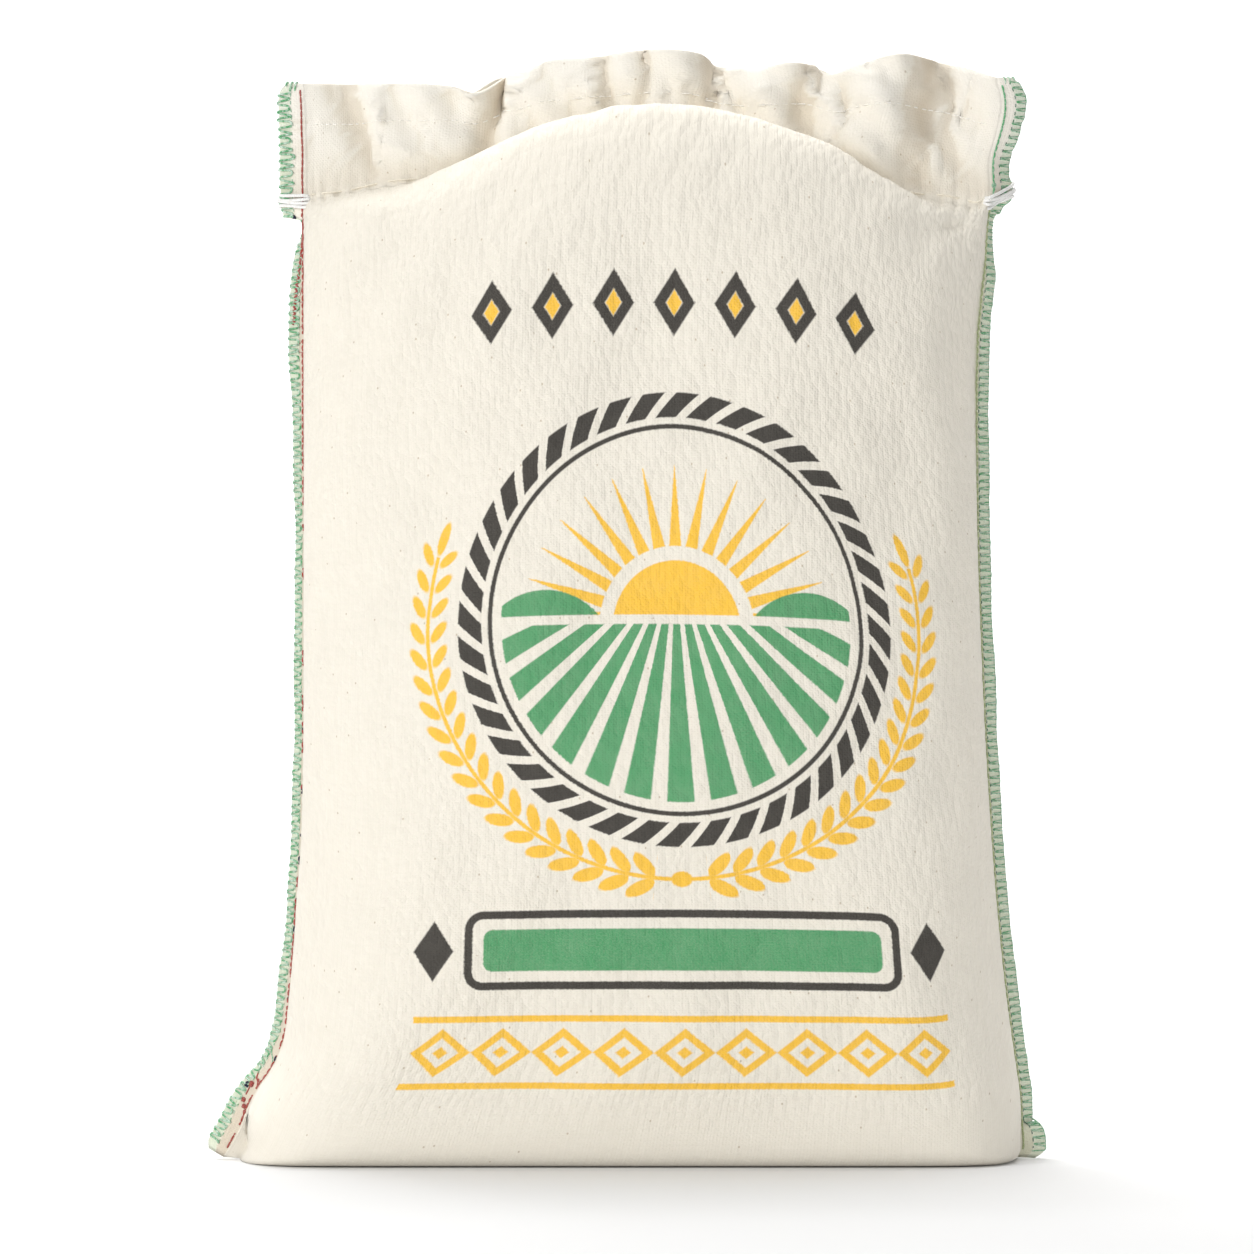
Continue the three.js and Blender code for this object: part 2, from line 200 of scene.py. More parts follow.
# X and height of the mouth's edge, in millimetres
MOUTH_EDGE = [
    (-160, 485),
    (-110, 485),
    (-80, 483.5),
    (-69, 480.5),
    (-57, 488.5),
    (-46, 490.5),
    (-35, 495.3),
    (-14, 497),
    (8, 500.2),
    (30, 499),
    (40, 494),
    (56, 491.7),
    (73, 494.5),
    (84, 493.6),
    (94, 489.5),
    (105, 493.6),
    (126, 498),
    (148, 494.5),
    (170, 487),
    (184, 486),
]

# Soft dents that run down from the closing seam: X, half width, depth and reach, in millimetres.
SHOULDER_DENTS = [
    (-104, 6, 0.7, 18),
    (-29, 6, 1.9, 30),
    (-4, 8, 0.7, 26),
    (30, 5, 2.1, 20),
    (39, 4, 1.1, 26),
    (62, 8, 1.0, 40),
    (96, 7, 1.3, 34),
    (122, 7, 1.5, 30),
]


# Lumps of the filling: wavelength in metres, height in millimetres
LUMPS = [
    (0.105, 1.1),
    (0.042, 0.45),
    (0.015, 0.12),
]

# The hollow beside the upper right seam: place and half width across, depth in millimetres
HOLLOW_PLACE = 0.94
HOLLOW_HALF_WIDTH = 0.06
HOLLOW_DEPTH = 3.0


def length(name, description, default):
    """A size property in metres."""
    return bpy.props.FloatProperty(
        name=name, description=description, default=default, min=0.0, unit="LENGTH", precision=4
    )


def share(name, description, default):
    """A property that is a plain number."""
    return bpy.props.FloatProperty(name=name, description=description, default=default, precision=3)


def colour(name, description, default):
    """A linear colour property."""
    return bpy.props.FloatVectorProperty(
        name=name, description=description, default=default, size=3, min=0.0, max=1.0, subtype="COLOR"
    )


class SackSizes(bpy.types.PropertyGroup):
    """Sizes of the sack, its cloth and its threads"""

    filled_height: length("Filled height", "Floor to the ends of the closing seam", 0.432)
    neck_rise: length("Neck rise", "How much higher the closing seam is at its middle", 0.015)
    front_depth: length("Front depth", "Seam plane to the front at its fullest", 0.060)
    back_depth: length("Back depth", "Seam plane to the back at its fullest", 0.056)
    front_swell: length("Front swelling", "Rise of the filling in front of the closing seam", 0.026)
    back_swell: length("Back swelling", "Rise of the filling behind the closing seam", 0.018)
    left_width: length("Left width", "Middle to the left seam at its narrowest", 0.145)
    right_waist: length("Right waist", "Middle to the right seam at its narrowest", 0.1565)
    corner_lift: length("Corner lift", "How far the empty corners lift off the floor", 0.0008)
    body_squareness: share("Body squareness", "2 is an ellipse, more is closer to a box", 2.7)
    base_squareness: share("Base squareness", "Squareness added at the floor", 11.0)
    collar_height: length("Collar height", "Closing seam to the mouth", 0.053)
    collar_thickness: length("Collar thickness", "Both sheets of the collar with the gap", 0.003)
    collar_lean: length("Collar lean", "How far the mouth leans back", 0.005)
    allowance: length("Seam allowance", "Cloth outside the side stitching", 0.0115)
    allowance_thickness: length("Allowance thickness", "Both sheets of cloth, pressed", 0.0018)
    cloth_thickness: length("Cloth thickness", "The collar's folded hem", 0.0011)
    overlock_width: length("Overlock width", "Raw edge to the overlock's needle line", 0.0054)
    overlock_pitch: length("Overlock pitch", "Distance between overlock stitches", 0.0036)
    thread_radius: length("Thread radius", "Overlock and side stitch thread", 0.00036)
    string_radius: length("String radius", "Closing string", 0.0008)
    gather_pitch: length("Gather pitch", "Distance between closing stitches", 0.0095)
    hem_pitch: length("Hem pitch", "Distance between hem stitches", 0.0042)
    hem_depth: length("Hem depth", "Mouth to the hem's stitching", 0.019)


class SackColours(bpy.types.PropertyGroup):
    """Colours of the cloth, the print and the threads"""

    cotton: colour("Cotton", "Unbleached cloth", (0.87, 0.81, 0.69))
    seed: colour("Seed specks", "Bits of husk spun into the yarn", (0.36, 0.25, 0.13))
    # Painted shade: the light brown laid on the left allowance beside its seam and in the collar's creases
    tan: colour("Shaded cloth", "Cloth of the left allowance beside its seam", (0.45, 0.33, 0.19))
    charcoal: colour("Charcoal ink", "Ink of the frames and lozenges", (0.052, 0.047, 0.041))
    green: colour("Green ink", "Ink of the field and the bar", (0.06, 0.31, 0.12))
    golden: colour("Golden ink", "Ink of the sun, the grain and the border", (0.91, 0.53, 0.045))
    overlock: colour("Overlock thread", "Green spun thread", (0.1, 0.38, 0.16))
    fluff: colour("Overlock fluff", "Cloth and fibres under the green threads", (0.48, 0.66, 0.43))
    left_stitch: colour("Left side stitch", "Red spun thread", (0.36, 0.045, 0.03))
    faded_stitch: colour("Right side stitch", "Pale green stitching beside the body", (0.4, 0.46, 0.25))
    needle: colour("Needle thread", "Dark thread at the needle holes", (0.02, 0.025, 0.05))
    string: colour("String", "White cotton string", (0.86, 0.85, 0.82))


def smooth(x, low, high):
    """Smooth step: 0 below low, 1 above high, and 3s^2 - 2s^3 between."""
    s = np.clip((x - low) / (high - low), 0, 1)
    return s * s * (3 - 2 * s)


def mix(a, b, s):
    return a + (b - a) * s


def arc_drop(s):
    """How far a quarter circle has fallen a share s along: 1 - sqrt(1 - s^2), kept off its upright end."""
    return 1 - np.sqrt(1 - 0.99 * s**2)


def unit(vectors):
    """Vectors divided by their own lengths."""
    return vectors / np.linalg.norm(vectors, axis=-1, keepdims=True)


def stack(x, y, z):
    """Three arrays of coordinates as one array of points."""
    return np.stack(np.broadcast_arrays(x, y, z), axis=-1).astype(float)


def clamped_spline(points, at):
    """Uniform cubic B-spline clamped at its ends: Cox-de Boor weights of the frame points, at from 0 to 1."""
    points = np.array(points, float)
    spans = len(points) - 3
    knots = np.clip(np.arange(len(points) + 4) - 3, 0, spans).astype(float)
    at = np.minimum(at * spans, spans - 1e-9)[:, None]
    weights = ((knots[:-1] <= at) & (at < knots[1:])).astype(float)
    for degree in (1, 2, 3):
        n = weights.shape[1] - 1
        before = knots[degree : degree + n] - knots[:n]
        after = knots[degree + 1 : degree + 1 + n] - knots[1 : n + 1]
        rising = (at - knots[:n]) / np.where(before > 0, before, np.inf)
        falling = (knots[degree + 1 : degree + 1 + n] - at) / np.where(after > 0, after, np.inf)
        weights = rising * weights[:, :n] + falling * weights[:, 1:]
    return weights @ points


def smooth_table(table):
    """Catmull-Rom curve through a table's points: a function of the first column that gives another."""
    points = np.array(table, float)
    padded = np.vstack([points[:1], points, points[-1:]])
    s = np.linspace(0, 1, 40, endpoint=False)[:, None, None]
    a, b, c, d = padded[:-3], padded[1:-2], padded[2:-1], padded[3:]
    curve = 0.5 * (2 * b + (c - a) * s + (2 * a - 5 * b + 4 * c - d) * s**2 + (3 * b - a - 3 * c + d) * s**3)
    curve = np.vstack([curve.transpose(1, 0, 2).reshape(-1, points.shape[1]), points[-1:]])
    return lambda x, column=1: np.interp(x, curve[:, 0], curve[:, column])


def ripples(x, y, wavelength, seed):
    """Even random waves of about unit size: eight sine waves of one wavelength in random directions."""
    rng = np.random.default_rng(seed)
    total = 0.0
    for angle, phase in zip(rng.uniform(0, np.pi, 8), rng.uniform(0, 2 * np.pi, 8)):
        total = total + np.sin(2 * np.pi / wavelength * (x * np.cos(angle) + y * np.sin(angle)) + phase)
    return total / 2


class SackForm:
    """The cloth as functions of two places: across (-1 to 1 between the side seams, and on to -2 and 2
    over the allowances) and up (0 at the fold under the base, 1 at the closing seam, 2 at the mouth)."""

    # Constants of the formulas below: lengths in metres, levels and places as in up and across
    climb_power = 14
    swell_centre, swell_reach = 0.06, 0.8
    slope_reach = 0.02
    square_fade = 0.045
    bend_from, bend_to = 0.38, 0.62
    flat_corner, flat_corner_top = 0.042, 0.045
    seam_sag = 0.0044
    edge_wave, edge_wavelength = 0.3 * MM, 0.045
    top_round, top_round_from, top_round_reach = 0.45, 1.84, 0.16
    bottom_round, bottom_round_reach = 0.3, 0.016
    puff_out, puff_level, puff_reach = 0.16, 1.1, 0.06
    wave_length, crease_spacing, crease_patch, cross_spacing = 0.024, 0.034, 0.05, 0.026
    pucker_pitch, pleat_pitch = 0.0082, 0.0105

    def __init__(self, sizes):
        self.s = sizes
        self.t = np.linspace(0, 1, 3001)
        self.depth, self.level, self.swelling = clamped_spline(PROFILE_FRAME, self.t).T
        self.level = np.maximum.accumulate(self.level)
        steps = np.hypot(np.diff(self.depth) * sizes.front_depth, np.diff(self.level) * sizes.filled_height)
        self.along = np.concatenate([[0], np.cumsum(steps)])
        self.cloth_length = self.along[-1]
        self.turns = {-1: smooth_table(LEFT_TURNS), 1: smooth_table(RIGHT_TURNS)}
        self.spreads = {-1: smooth_table(LEFT_SPREAD), 1: smooth_table(RIGHT_SPREAD)}
        self.mouth_edge = smooth_table(MOUTH_EDGE)
        self.shift = np.zeros(3)
        self.flat_across = self.half_section()
        self.shift = self.frame_shift()

    def half_section(self):
        """Distance along the cloth from the middle of the front, at half height, against the place across."""
        u = np.linspace(0, 1, 400)
        x = (self.s.left_width + self.s.right_waist) / 2 * u
        y = self.s.front_depth * self.fullness(u, self.s.filled_height / 2)
        return u, np.concatenate([[0], np.cumsum(np.hypot(np.diff(x), np.diff(y)))])

    def frame_shift(self):
        """What moves this form onto the CAD solid: the difference of their middles in Y."""
        low, high = (np.array(corner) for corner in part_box("sack"))
        across = np.concatenate([[-2], np.linspace(-1, 1, 81), [2]])
        up = np.linspace(0, 2, 161)
        both = [self.plain_point(across[None, :], up[:, None], facing) for facing in (1, -1)]
        points = np.concatenate(both).reshape(-1, 3)
        middles = (low + high) / 2 - (points.min(0) + points.max(0)) / 2
        return np.array([0.0, middles[1], 0.0])

    def seam_x(self, side, level):
        """A side seam: its distance from the middle at its narrowest, and its spread at this height."""
        height = np.minimum(level, 1) * self.s.filled_height + np.clip(level - 1, 0, 1) * self.s.collar_height
        narrowest = self.s.left_width if side < 0 else self.s.right_waist
        return side * (narrowest + self.spreads[side](height / MM) * MM)

    def across_x(self, u, level):
        return mix(self.seam_x(-1, level), self.seam_x(1, level), (1 + u) / 2)

    def closing_height(self, u):
        """Height of the closing seam: a parabola that is highest in the middle, and a sag on the right."""
        sag = self.seam_sag * smooth(u, 0.55, 0.8) * (1 - smooth(u, 0.955, 1.0))
        return self.s.filled_height + self.s.neck_rise * (1 - u * u) - sag

    def fullness(self, u, height):
        """Depth as a share of the deepest: square root of 1 - |u|^p, p growing towards the floor."""
        power = self.s.body_squareness + self.s.base_squareness * np.exp(-height / self.square_fade)
        return np.sqrt(np.maximum(1 - np.abs(u) ** power, 0))

    def fold_y(self, x, q):
        """Y of the collar's folds a share q up it: a sum of smooth steps that lean and grow from the neck."""
        total = MOUTH_START + 0 * x * q
        for centre, width, turn, lean in COLLAR_FOLDS:
            at = x / MM - centre - lean * (1 - q)
            total = total + turn * smooth(at, -width / 2, width / 2)
        return total * MM * q**0.7

    def crumple(self, x, z):
        """Soft waves, and thin creases along the zero lines of a slower wave where another wave is high."""
        waves = ripples(x + 0.5 * z, 0.8 * z, self.wave_length, 11)
        line = ripples(x - 0.5 * z, 0.9 * z, self.crease_spacing, 12)
        some = smooth(ripples(x, z, self.crease_patch, 13), -0.3, 0.7)
        cross = ripples(0.5 * x + z, z - 0.4 * x, self.cross_spacing, 14)
        creases = 2.4 * some * np.exp(-((line / 0.22) ** 2)) + 1.3 * np.exp(-((cross / 0.18) ** 2))
        return MM * (1.6 * waves - creases)

    def collar_middle(self, u, level):
        """The collar between its two sheets: from the closing seam up to the mouth's folds and edge."""
        q = np.clip(level - 1, 0, 1)
        x = self.across_x(u, np.maximum(level, 1))
        z = mix(self.closing_height(u), self.mouth_edge(x / MM) * MM, q)
        loose = (1 - np.abs(u) ** 8) * smooth(q, 0, 0.3)
        y = self.s.collar_lean * q + self.fold_y(x, q) + self.crumple(x, z) * loose
        return stack(x, y, z)

    def collar_point(self, u, level, offset):
        """A point at an offset from the collar's middle, along the normal of its horizontal section."""
        step = 0.004
        ahead = self.collar_middle(np.minimum(u + step, 1), level)
        behind = self.collar_middle(np.maximum(u - step, -1), level)
        along = ahead - behind
        along[..., 2] = 0
        along = unit(along)
        normal = stack(along[..., 1], -along[..., 0], 0)
        return self.collar_middle(u, level) + normal * np.asarray(offset)[..., None]

    def seam_axes(self, side, level, column=1):
        """Root on the stitched line, outward direction in the cloth and its front normal, with the turn in
        one column of the table: 1 for the strip beside the stitching, 2 for the overlocked edge."""
        low = np.clip(level - self.slope_reach, 0, 1 - 2 * self.slope_reach)
        high = low + 2 * self.slope_reach
        rise = 2 * self.slope_reach * self.s.filled_height
        slope = (self.seam_x(side, high) - self.seam_x(side, low)) / rise * (1 - smooth(level, 0.98, 1.15))
        turn = np.radians(self.turns[side](level, column))
        across = unit(stack(side + 0 * slope, 0, -side * slope))
        back = np.array([0.0, 1.0, 0.0])
        out = across * np.cos(turn)[..., None] + back * np.sin(turn)[..., None]
        face = across * np.sin(turn)[..., None] - back * np.cos(turn)[..., None]
        lift = self.s.corner_lift * (1 - smooth(level, 0, 0.15))
        body = stack(self.seam_x(side, level), 0, np.minimum(level, 1) * self.s.filled_height + lift)
        root = np.where((level > 1)[..., None], self.collar_middle(side + 0 * level, level), body)
        return root, out, face

    def allowance_point(self, side, level, distance, wall):
        """A point out from the side stitching. The turn runs from the strip's to the edge's over a bend: the
        length past it is the integral of a smooth step. The raw edge waves, and its corners are round."""
        level, distance, wall = np.broadcast_arrays(np.asarray(level, float), distance, wall)
        root, strip_out, strip_face = self.seam_axes(side, level)
        _, edge_out, edge_face = self.seam_axes(side, level, 2)
        far = distance / self.s.allowance
        along = level * self.s.filled_height
        wave = self.edge_wave * ripples(along, 0, self.edge_wavelength, 20 + side) * far**2
        top = np.clip((level - self.top_round_from) / self.top_round_reach, 0, 1)
        bottom = np.clip(1 - level / self.bottom_round_reach, 0, 1)
        round_off = 1 - self.top_round * arc_drop(top) - self.bottom_round * arc_drop(bottom)
        puff = self.puff_out * np.exp(-(((level - self.puff_level) / self.puff_reach) ** 2)) * (side > 0)
        out = distance * (round_off + puff)
        bend = (self.bend_to - self.bend_from) * self.s.allowance
        s = np.clip((out - self.bend_from * self.s.allowance) / bend, 0, 1)
        past = bend * (s**3 - s**4 / 2) + np.maximum(out - self.bend_to * self.s.allowance, 0)
        face = unit(mix(strip_face, edge_face, smooth(s, 0, 1)[..., None]))
        lengths = strip_out * (out - past)[..., None] + edge_out * past[..., None]
        return root + lengths + face * (wall + wave)[..., None]

    def thread_point(self, side, level, distance, wall):
        """A point of a thread on an allowance, where the finished cloth has it."""
        return self.allowance_point(side, level, distance, wall) + self.shift

    def profile(self, u, up):
        """Depth, level and swelling where a row of cloth crosses u. Near a side seam the row climbs from
        its place on the profile to the same share of the seam."""
        middle = np.interp(up * self.cloth_length, self.along, self.t)
        seam = np.where(up > 0, np.interp(up, self.level, self.t), 0)
        t = mix(middle, seam, np.abs(u) ** self.climb_power)
        return (np.interp(t, self.t, table) for table in (self.depth, self.level, self.swelling))

    def body_point(self, u, up, facing, wall):
        """The filled body: a rounded box section whose depth and height follow the profile. The left
        corner at the floor holds no filling and lies flat."""
        depth, level, swelling = self.profile(u, up)
        most = self.s.front_swell if facing > 0 else self.s.back_swell
        deepest = self.s.front_depth if facing > 0 else self.s.back_depth
        swell = most * np.maximum(1 - ((u - self.swell_centre) / self.swell_reach) ** 2, 0) ** 1.25
        corner = smooth(np.abs(u), 0.93, 1) * (1 - smooth(level, 0, 0.15))
        height = level * self.closing_height(u) + swelling * swell + self.s.corner_lift * corner
        _, _, left_face = self.seam_axes(-1, level)
        _, _, right_face = self.seam_axes(1, level)
        front = np.array([0.0, -1.0, 0.0])
        near = smooth(np.abs(u), 0.96, 1)[..., None]
        normal = unit(mix(front, np.where((u < 0)[..., None], left_face, right_face), near))
        empty = self.flat_corner * (1 - smooth(level, 0.01, self.flat_corner_top)) * (u < 0)
        full_u = np.clip(u / (1 - empty), -1, 1)
        reach = facing * deepest * depth * self.fullness(full_u, np.minimum(level, 1) * self.s.filled_height)
        return stack(self.across_x(u, level), -reach, height) + facing * normal * wall[..., None]

    def opening(self, u, up):
        """Half the gap between the collar's two sheets: closed at its foot and sides, open in waves above."""
        q = np.clip(up - 1, 0, 1)
        waves = 0.5 + 0.5 * np.sin(9.2 * u + 1.1) * np.cos(4.1 * u - 0.6)
        return (0.3 + 2.1 * waves * smooth(q, 0.2, 1)) * MM * (1 - np.abs(u) ** 10) * smooth(q, 0, 0.15)

    def sheet_offset(self, u, up):
        """How far the collar's outer faces stand from its middle."""
        near_seam = smooth(np.abs(u), 0.94, 1)
        plain = mix(self.s.collar_thickness, self.s.allowance_thickness, near_seam) / 2
        return plain + np.maximum(self.opening(u, up) - 0.3 * MM, 0)

    def plain_point(self, across, up, facing):
        """The outer face of the cloth without its small relief."""
        across, up = np.broadcast_arrays(across, up)
        u = np.clip(across, -1, 1)
        wall = np.where(up > 0, self.s.allowance_thickness / 2, 0.0)
        body = self.body_point(u, np.minimum(up, 1), facing, wall)
        collar = self.collar_point(u, up, facing * self.sheet_offset(u, up))
        points = np.where((up > 1)[..., None], collar, body)
        for side in (-1, 1):
            out = (side * across > 1)[..., None]
            distance = (np.abs(across) - 1).clip(0) * self.s.allowance
            points = np.where(out, self.allowance_point(side, up, distance, facing * wall), points)
        return points + self.shift

    def flat_place(self, across, up):
        """Where a point lies on the flat cloth, in metres from its middle line and from the fold."""
        across, up = np.broadcast_arrays(across, up)
        beyond = (np.abs(across) - 1).clip(0) * self.s.allowance
        x = np.sign(across) * (np.interp(np.abs(across), *self.flat_across) + beyond)
        y = np.minimum(up, 1) * self.cloth_length + np.clip(up - 1, 0, 1) * self.s.collar_height
        return x, y

    def shade(self, across, up, facing):
        """Painted shade on the collar's cloth, as a share of light brown: in its creases, where it turns away
        from the key light, and at its foot. Less than nothing is painted light, where the cloth lies plain."""
        across, up = np.broadcast_arrays(across, up)
        u, q = np.clip(across, -1, 1), np.clip(up - 1, 0, 1)
        x = self.across_x(u, np.maximum(up, 1))
        z = mix(self.closing_height(u), self.mouth_edge(x / MM) * MM, q)
        step = 0.002
        low = self.fold_y(x, q) + self.crumple(x, z)
        around = (self.fold_y(x - 4 * step, q) + self.fold_y(x + 4 * step, q)
                  + self.crumple(x - 2 * step, z) + self.crumple(x + 2 * step, z)) / 2
        sunk = facing * (low - around) / MM
        turned = facing * (self.fold_y(x + step, q) - self.fold_y(x - step, q)) / (2 * step)
        total = 0.09 * np.clip(sunk, 0, 2.5) + 0.2 * np.clip(turned, 0, 1.5) + 0.14 * (1 - q) ** 2
        total = total - 0.25 * smooth(q, 0.1, 0.5) * np.clip(1 - 1.4 * sunk - 4 * turned, 0, 1)
        return np.where(up > 1, np.clip(total, -0.5, 0.5) * smooth(q, 0, 0.1), 0.0)

    def relief(self, across, up, facing):
        """Small depths along the normal: lumps of the filling, gathers at the closing seam, soft dents
        below it, pull lines at its ends, a hollow beside the upper right seam, fine puckers beside the
        side seams, and the hem's stitching."""
        x, y = self.flat_place(across, up)
        seed = 40 if facing > 0 else 60
        below = self.cloth_length - y
        inside = 1 - smooth(np.abs(across), 0.965, 1.0)
        face = smooth(up, 0.11, 0.2) * smooth(below, 0.004, 0.03) * inside
        lumps = sum(high * ripples(x, y, wide, seed + i) for i, (wide, high) in enumerate(LUMPS))
        pulls = self.pull_lines(x, below, 1, 1.7) + self.pull_lines(x, below, -1, 0.7)
        beside = np.exp(-np.abs(np.abs(across) - 0.985) * 0.16 / 0.009)
        phase = 2 * np.pi * y / self.pucker_pitch + 2 * ripples(x, y, 0.05, seed + 3)
        puckers = 0.22 * np.sin(phase) * beside
        body = face * (lumps + pulls) + puckers * smooth(up, 0.05, 0.1) * smooth(below, 0, 0.01)
        body = body - face * self.dents(x, below, facing)
        hollow = np.exp(-(((across - HOLLOW_PLACE) / HOLLOW_HALF_WIDTH) ** 2))
        body = body - HOLLOW_DEPTH * (hollow * (1 - smooth(below, 0.08, 0.17))) * smooth(below, 0.004, 0.03)
        gather = self.gathers(x, below) * inside
        return MM * (body * (below > 0) + np.maximum(gather + self.hem(x, up) * inside, -0.9))

    def pull_lines(self, x, below, side, strength):
        """Creases that fan out from an end of the closing seam: a sine of the angle, fading with distance."""
        dx = self.flat_across[1][-1] - side * x + 0.004
        dy = below + 0.012
        far = np.hypot(dx, dy)
        angle = np.arctan2(dy, dx)
        fan = np.sin(13 * angle + 0.6 * side) + 0.3 * np.sin(27 * angle + 2)
        return strength * fan * np.exp(-((far / 0.085) ** 2)) * smooth(far, 0.018, 0.05)

    def dents(self, x, below, facing):
        """Hollow lines that run down from the closing seam, one Gaussian valley for each listed dent."""
        total = 0.0
        for at, half_width, deep, reach in SHOULDER_DENTS:
            lean = at * facing * MM + 0.12 * below
            valley = np.exp(-(((x - lean) / (half_width * MM)) ** 2))
            total = total + deep * valley * np.exp(-((below / (reach * MM)) ** 2))
        return total

    def gathers(self, x, below):
        """Cloth gathered between closing stitches: rounded ridges with a sharp valley at each stitch."""
        uneven = x + 0.0011 * np.sin(x / 0.021) + 0.0006 * np.sin(x / 0.0083)
        ridges = np.abs(np.sin(np.pi * uneven / self.s.gather_pitch)) ** 0.8 - 0.6
        slack = smooth(x, 0.05, 0.11) * (below > 0)
        return (1.5 + 0.3 * slack) * ridges * np.exp(-np.abs(below) / (0.0085 + 0.006 * slack))

    def hem(self, x, up):
        """The folded hem stands out a little above its stitching, which dimples the cloth and draws it
        into small pleats, deepest over the middle."""
        to_mouth = (2 - up) * self.s.collar_height
        step = 0.3 * smooth(-to_mouth, -self.s.hem_depth - 0.001, -self.s.hem_depth + 0.001)
        line = np.exp(-(((to_mouth - self.s.hem_depth) / 0.0016) ** 2))
        holes = np.abs(np.cos(np.pi * x / self.s.hem_pitch)) ** 3
        near = np.exp(-np.abs(to_mouth - self.s.hem_depth) / 0.006)
        middle = smooth(x, -0.045, -0.02) * (1 - smooth(x, 0.03, 0.055))
        pleats = np.sin(2 * np.pi * x / self.pleat_pitch + 1.4 * np.sin(x / 0.017))
        pleats = pleats * near * (0.25 + 0.85 * middle)
        return (step - 0.5 * line * (0.35 + 0.65 * holes) + pleats) * (up > 1)


class Surface:
    """Collects grids of points and their faces, with corners' UVs and shared borders, for one mesh."""

    def __init__(self):
        self.points, self.uvs, self.marks, self.shared, self.quads, self.rings = [], [], [], [], [], []
        self.size = 0

    def place(self, points, uv, mark=0.0):
        """Adds points, marked one by one or by row, and returns the grid of their indices."""
        count = points.shape[0] * points.shape[1]
        index = self.size + np.arange(count).reshape(points.shape[:2])
        self.points.append(points.reshape(-1, 3))
        self.uvs.append(np.broadcast_to(uv, points.shape[:2] + (2,)).reshape(-1, 2))
        mark = np.asarray(mark, float)
        mark = mark if mark.ndim == 2 else np.broadcast_to(mark, len(points))[:, None]
        self.marks.append(np.broadcast_to(mark, points.shape[:2]).ravel())
        self.shared.append(index.ravel().copy())
        self.size += count
        return index

    def skin(self, index, flip=False):
        """Faces over a grid of indices. Columns run right and rows up as seen from outside."""
        quads = np.stack([index[:-1, :-1], index[:-1, 1:], index[1:, 1:], index[1:, :-1]], -1).reshape(-1, 4)
        self.quads.append(quads[:, ::-1] if flip else quads)

    def share(self, index, other):
        """Makes one row of points stand for another, already placed, in the same order."""
        joined = np.concatenate(self.shared)
        joined[index] = joined[other]
        self.shared = [joined]

    def object(self, name, material, slot, replaced):
        """The mesh as an object that rides on the sack and replaces CAD nodes."""
        shared = np.concatenate(self.shared)
        quads = np.concatenate(self.quads)
        own = np.concatenate([quads.ravel()] + [np.asarray(ring) for ring in self.rings]).astype(int)
        used, corners = np.unique(shared[own], return_inverse=True)
        sizes = np.concatenate([np.full(len(quads), 4), [len(ring) for ring in self.rings]]).astype(int)
        mesh = bpy.data.meshes.new(name)
        mesh.vertices.add(len(used))
        mesh.vertices.foreach_set("co", np.concatenate(self.points)[used].ravel())
        mesh.loops.add(len(own))
        mesh.loops.foreach_set("vertex_index", corners.astype(np.int32))
        mesh.polygons.add(len(sizes))
        starts = np.concatenate([[0], np.cumsum(sizes)[:-1]])
        mesh.polygons.foreach_set("loop_start", starts.astype(np.int32))
        mesh.uv_layers.new(name="Cloth").data.foreach_set("uv", np.concatenate(self.uvs)[own].ravel())
        mark = mesh.attributes.new("mark", "FLOAT", "POINT")
        mark.data.foreach_set("value", np.concatenate(self.marks)[used].astype(np.float32))
        mesh.update(calc_edges=True)
        mesh.validate()
        mesh.shade_smooth()
        mesh.materials.append(material)
        piece = bpy.data.objects.new(name, mesh)
        bpy.context.scene.collection.objects.link(piece)
        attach(piece, "root")
        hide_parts(*replaced)
        return piece


def grid_normals(points):
    """Outward normals of a grid: the cross product of the steps along its columns and rows."""
    return unit(np.cross(np.gradient(points, axis=1), np.gradient(points, axis=0)) + 1e-15)


TUBE_SIDES = 6


def add_tube(surface, path, reference, radius, mark=0.0, closed=False):
    """A round thread: at each point of the path a ring across the tangent, turned by a reference."""
    if closed:
        tangent = unit(np.roll(path, -1, axis=0) - np.roll(path, 1, axis=0))
    else:
        tangent = unit(np.gradient(path, axis=0))
    first = unit(np.cross(tangent, reference))
    second = np.cross(tangent, first)
    angle = np.linspace(0, 2 * np.pi, TUBE_SIDES + 1)[None, :, None]
    radius = np.broadcast_to(radius, len(path))[:, None, None]
    rings = path[:, None] + radius * (np.cos(angle) * first[:, None] + np.sin(angle) * second[:, None])
    run = np.concatenate([[0], np.cumsum(np.linalg.norm(np.diff(path, axis=0), axis=1))])
    uv = np.stack(np.broadcast_arrays(angle[..., 0] / (2 * np.pi) * MM, run[:, None]), -1)
    index = surface.place(rings, uv, mark)
    surface.share(index[:, -1], index[:, 0])
    if closed:
        surface.skin(np.vstack([index, index[:1]]))
    else:
        surface.skin(index)
        surface.rings += [index[0, :-1][::-1], index[-1, :-1]]


# Columns and rows of each sheet of cloth, closer together at the side seams, the base and the neck
ALLOWANCE_COLUMNS = 10
BODY_COLUMNS = 161
BODY_ROWS = 192
FIRST_ROW = 0.006
COLLAR_ROWS = 31
MOUTH_ROWS = 26


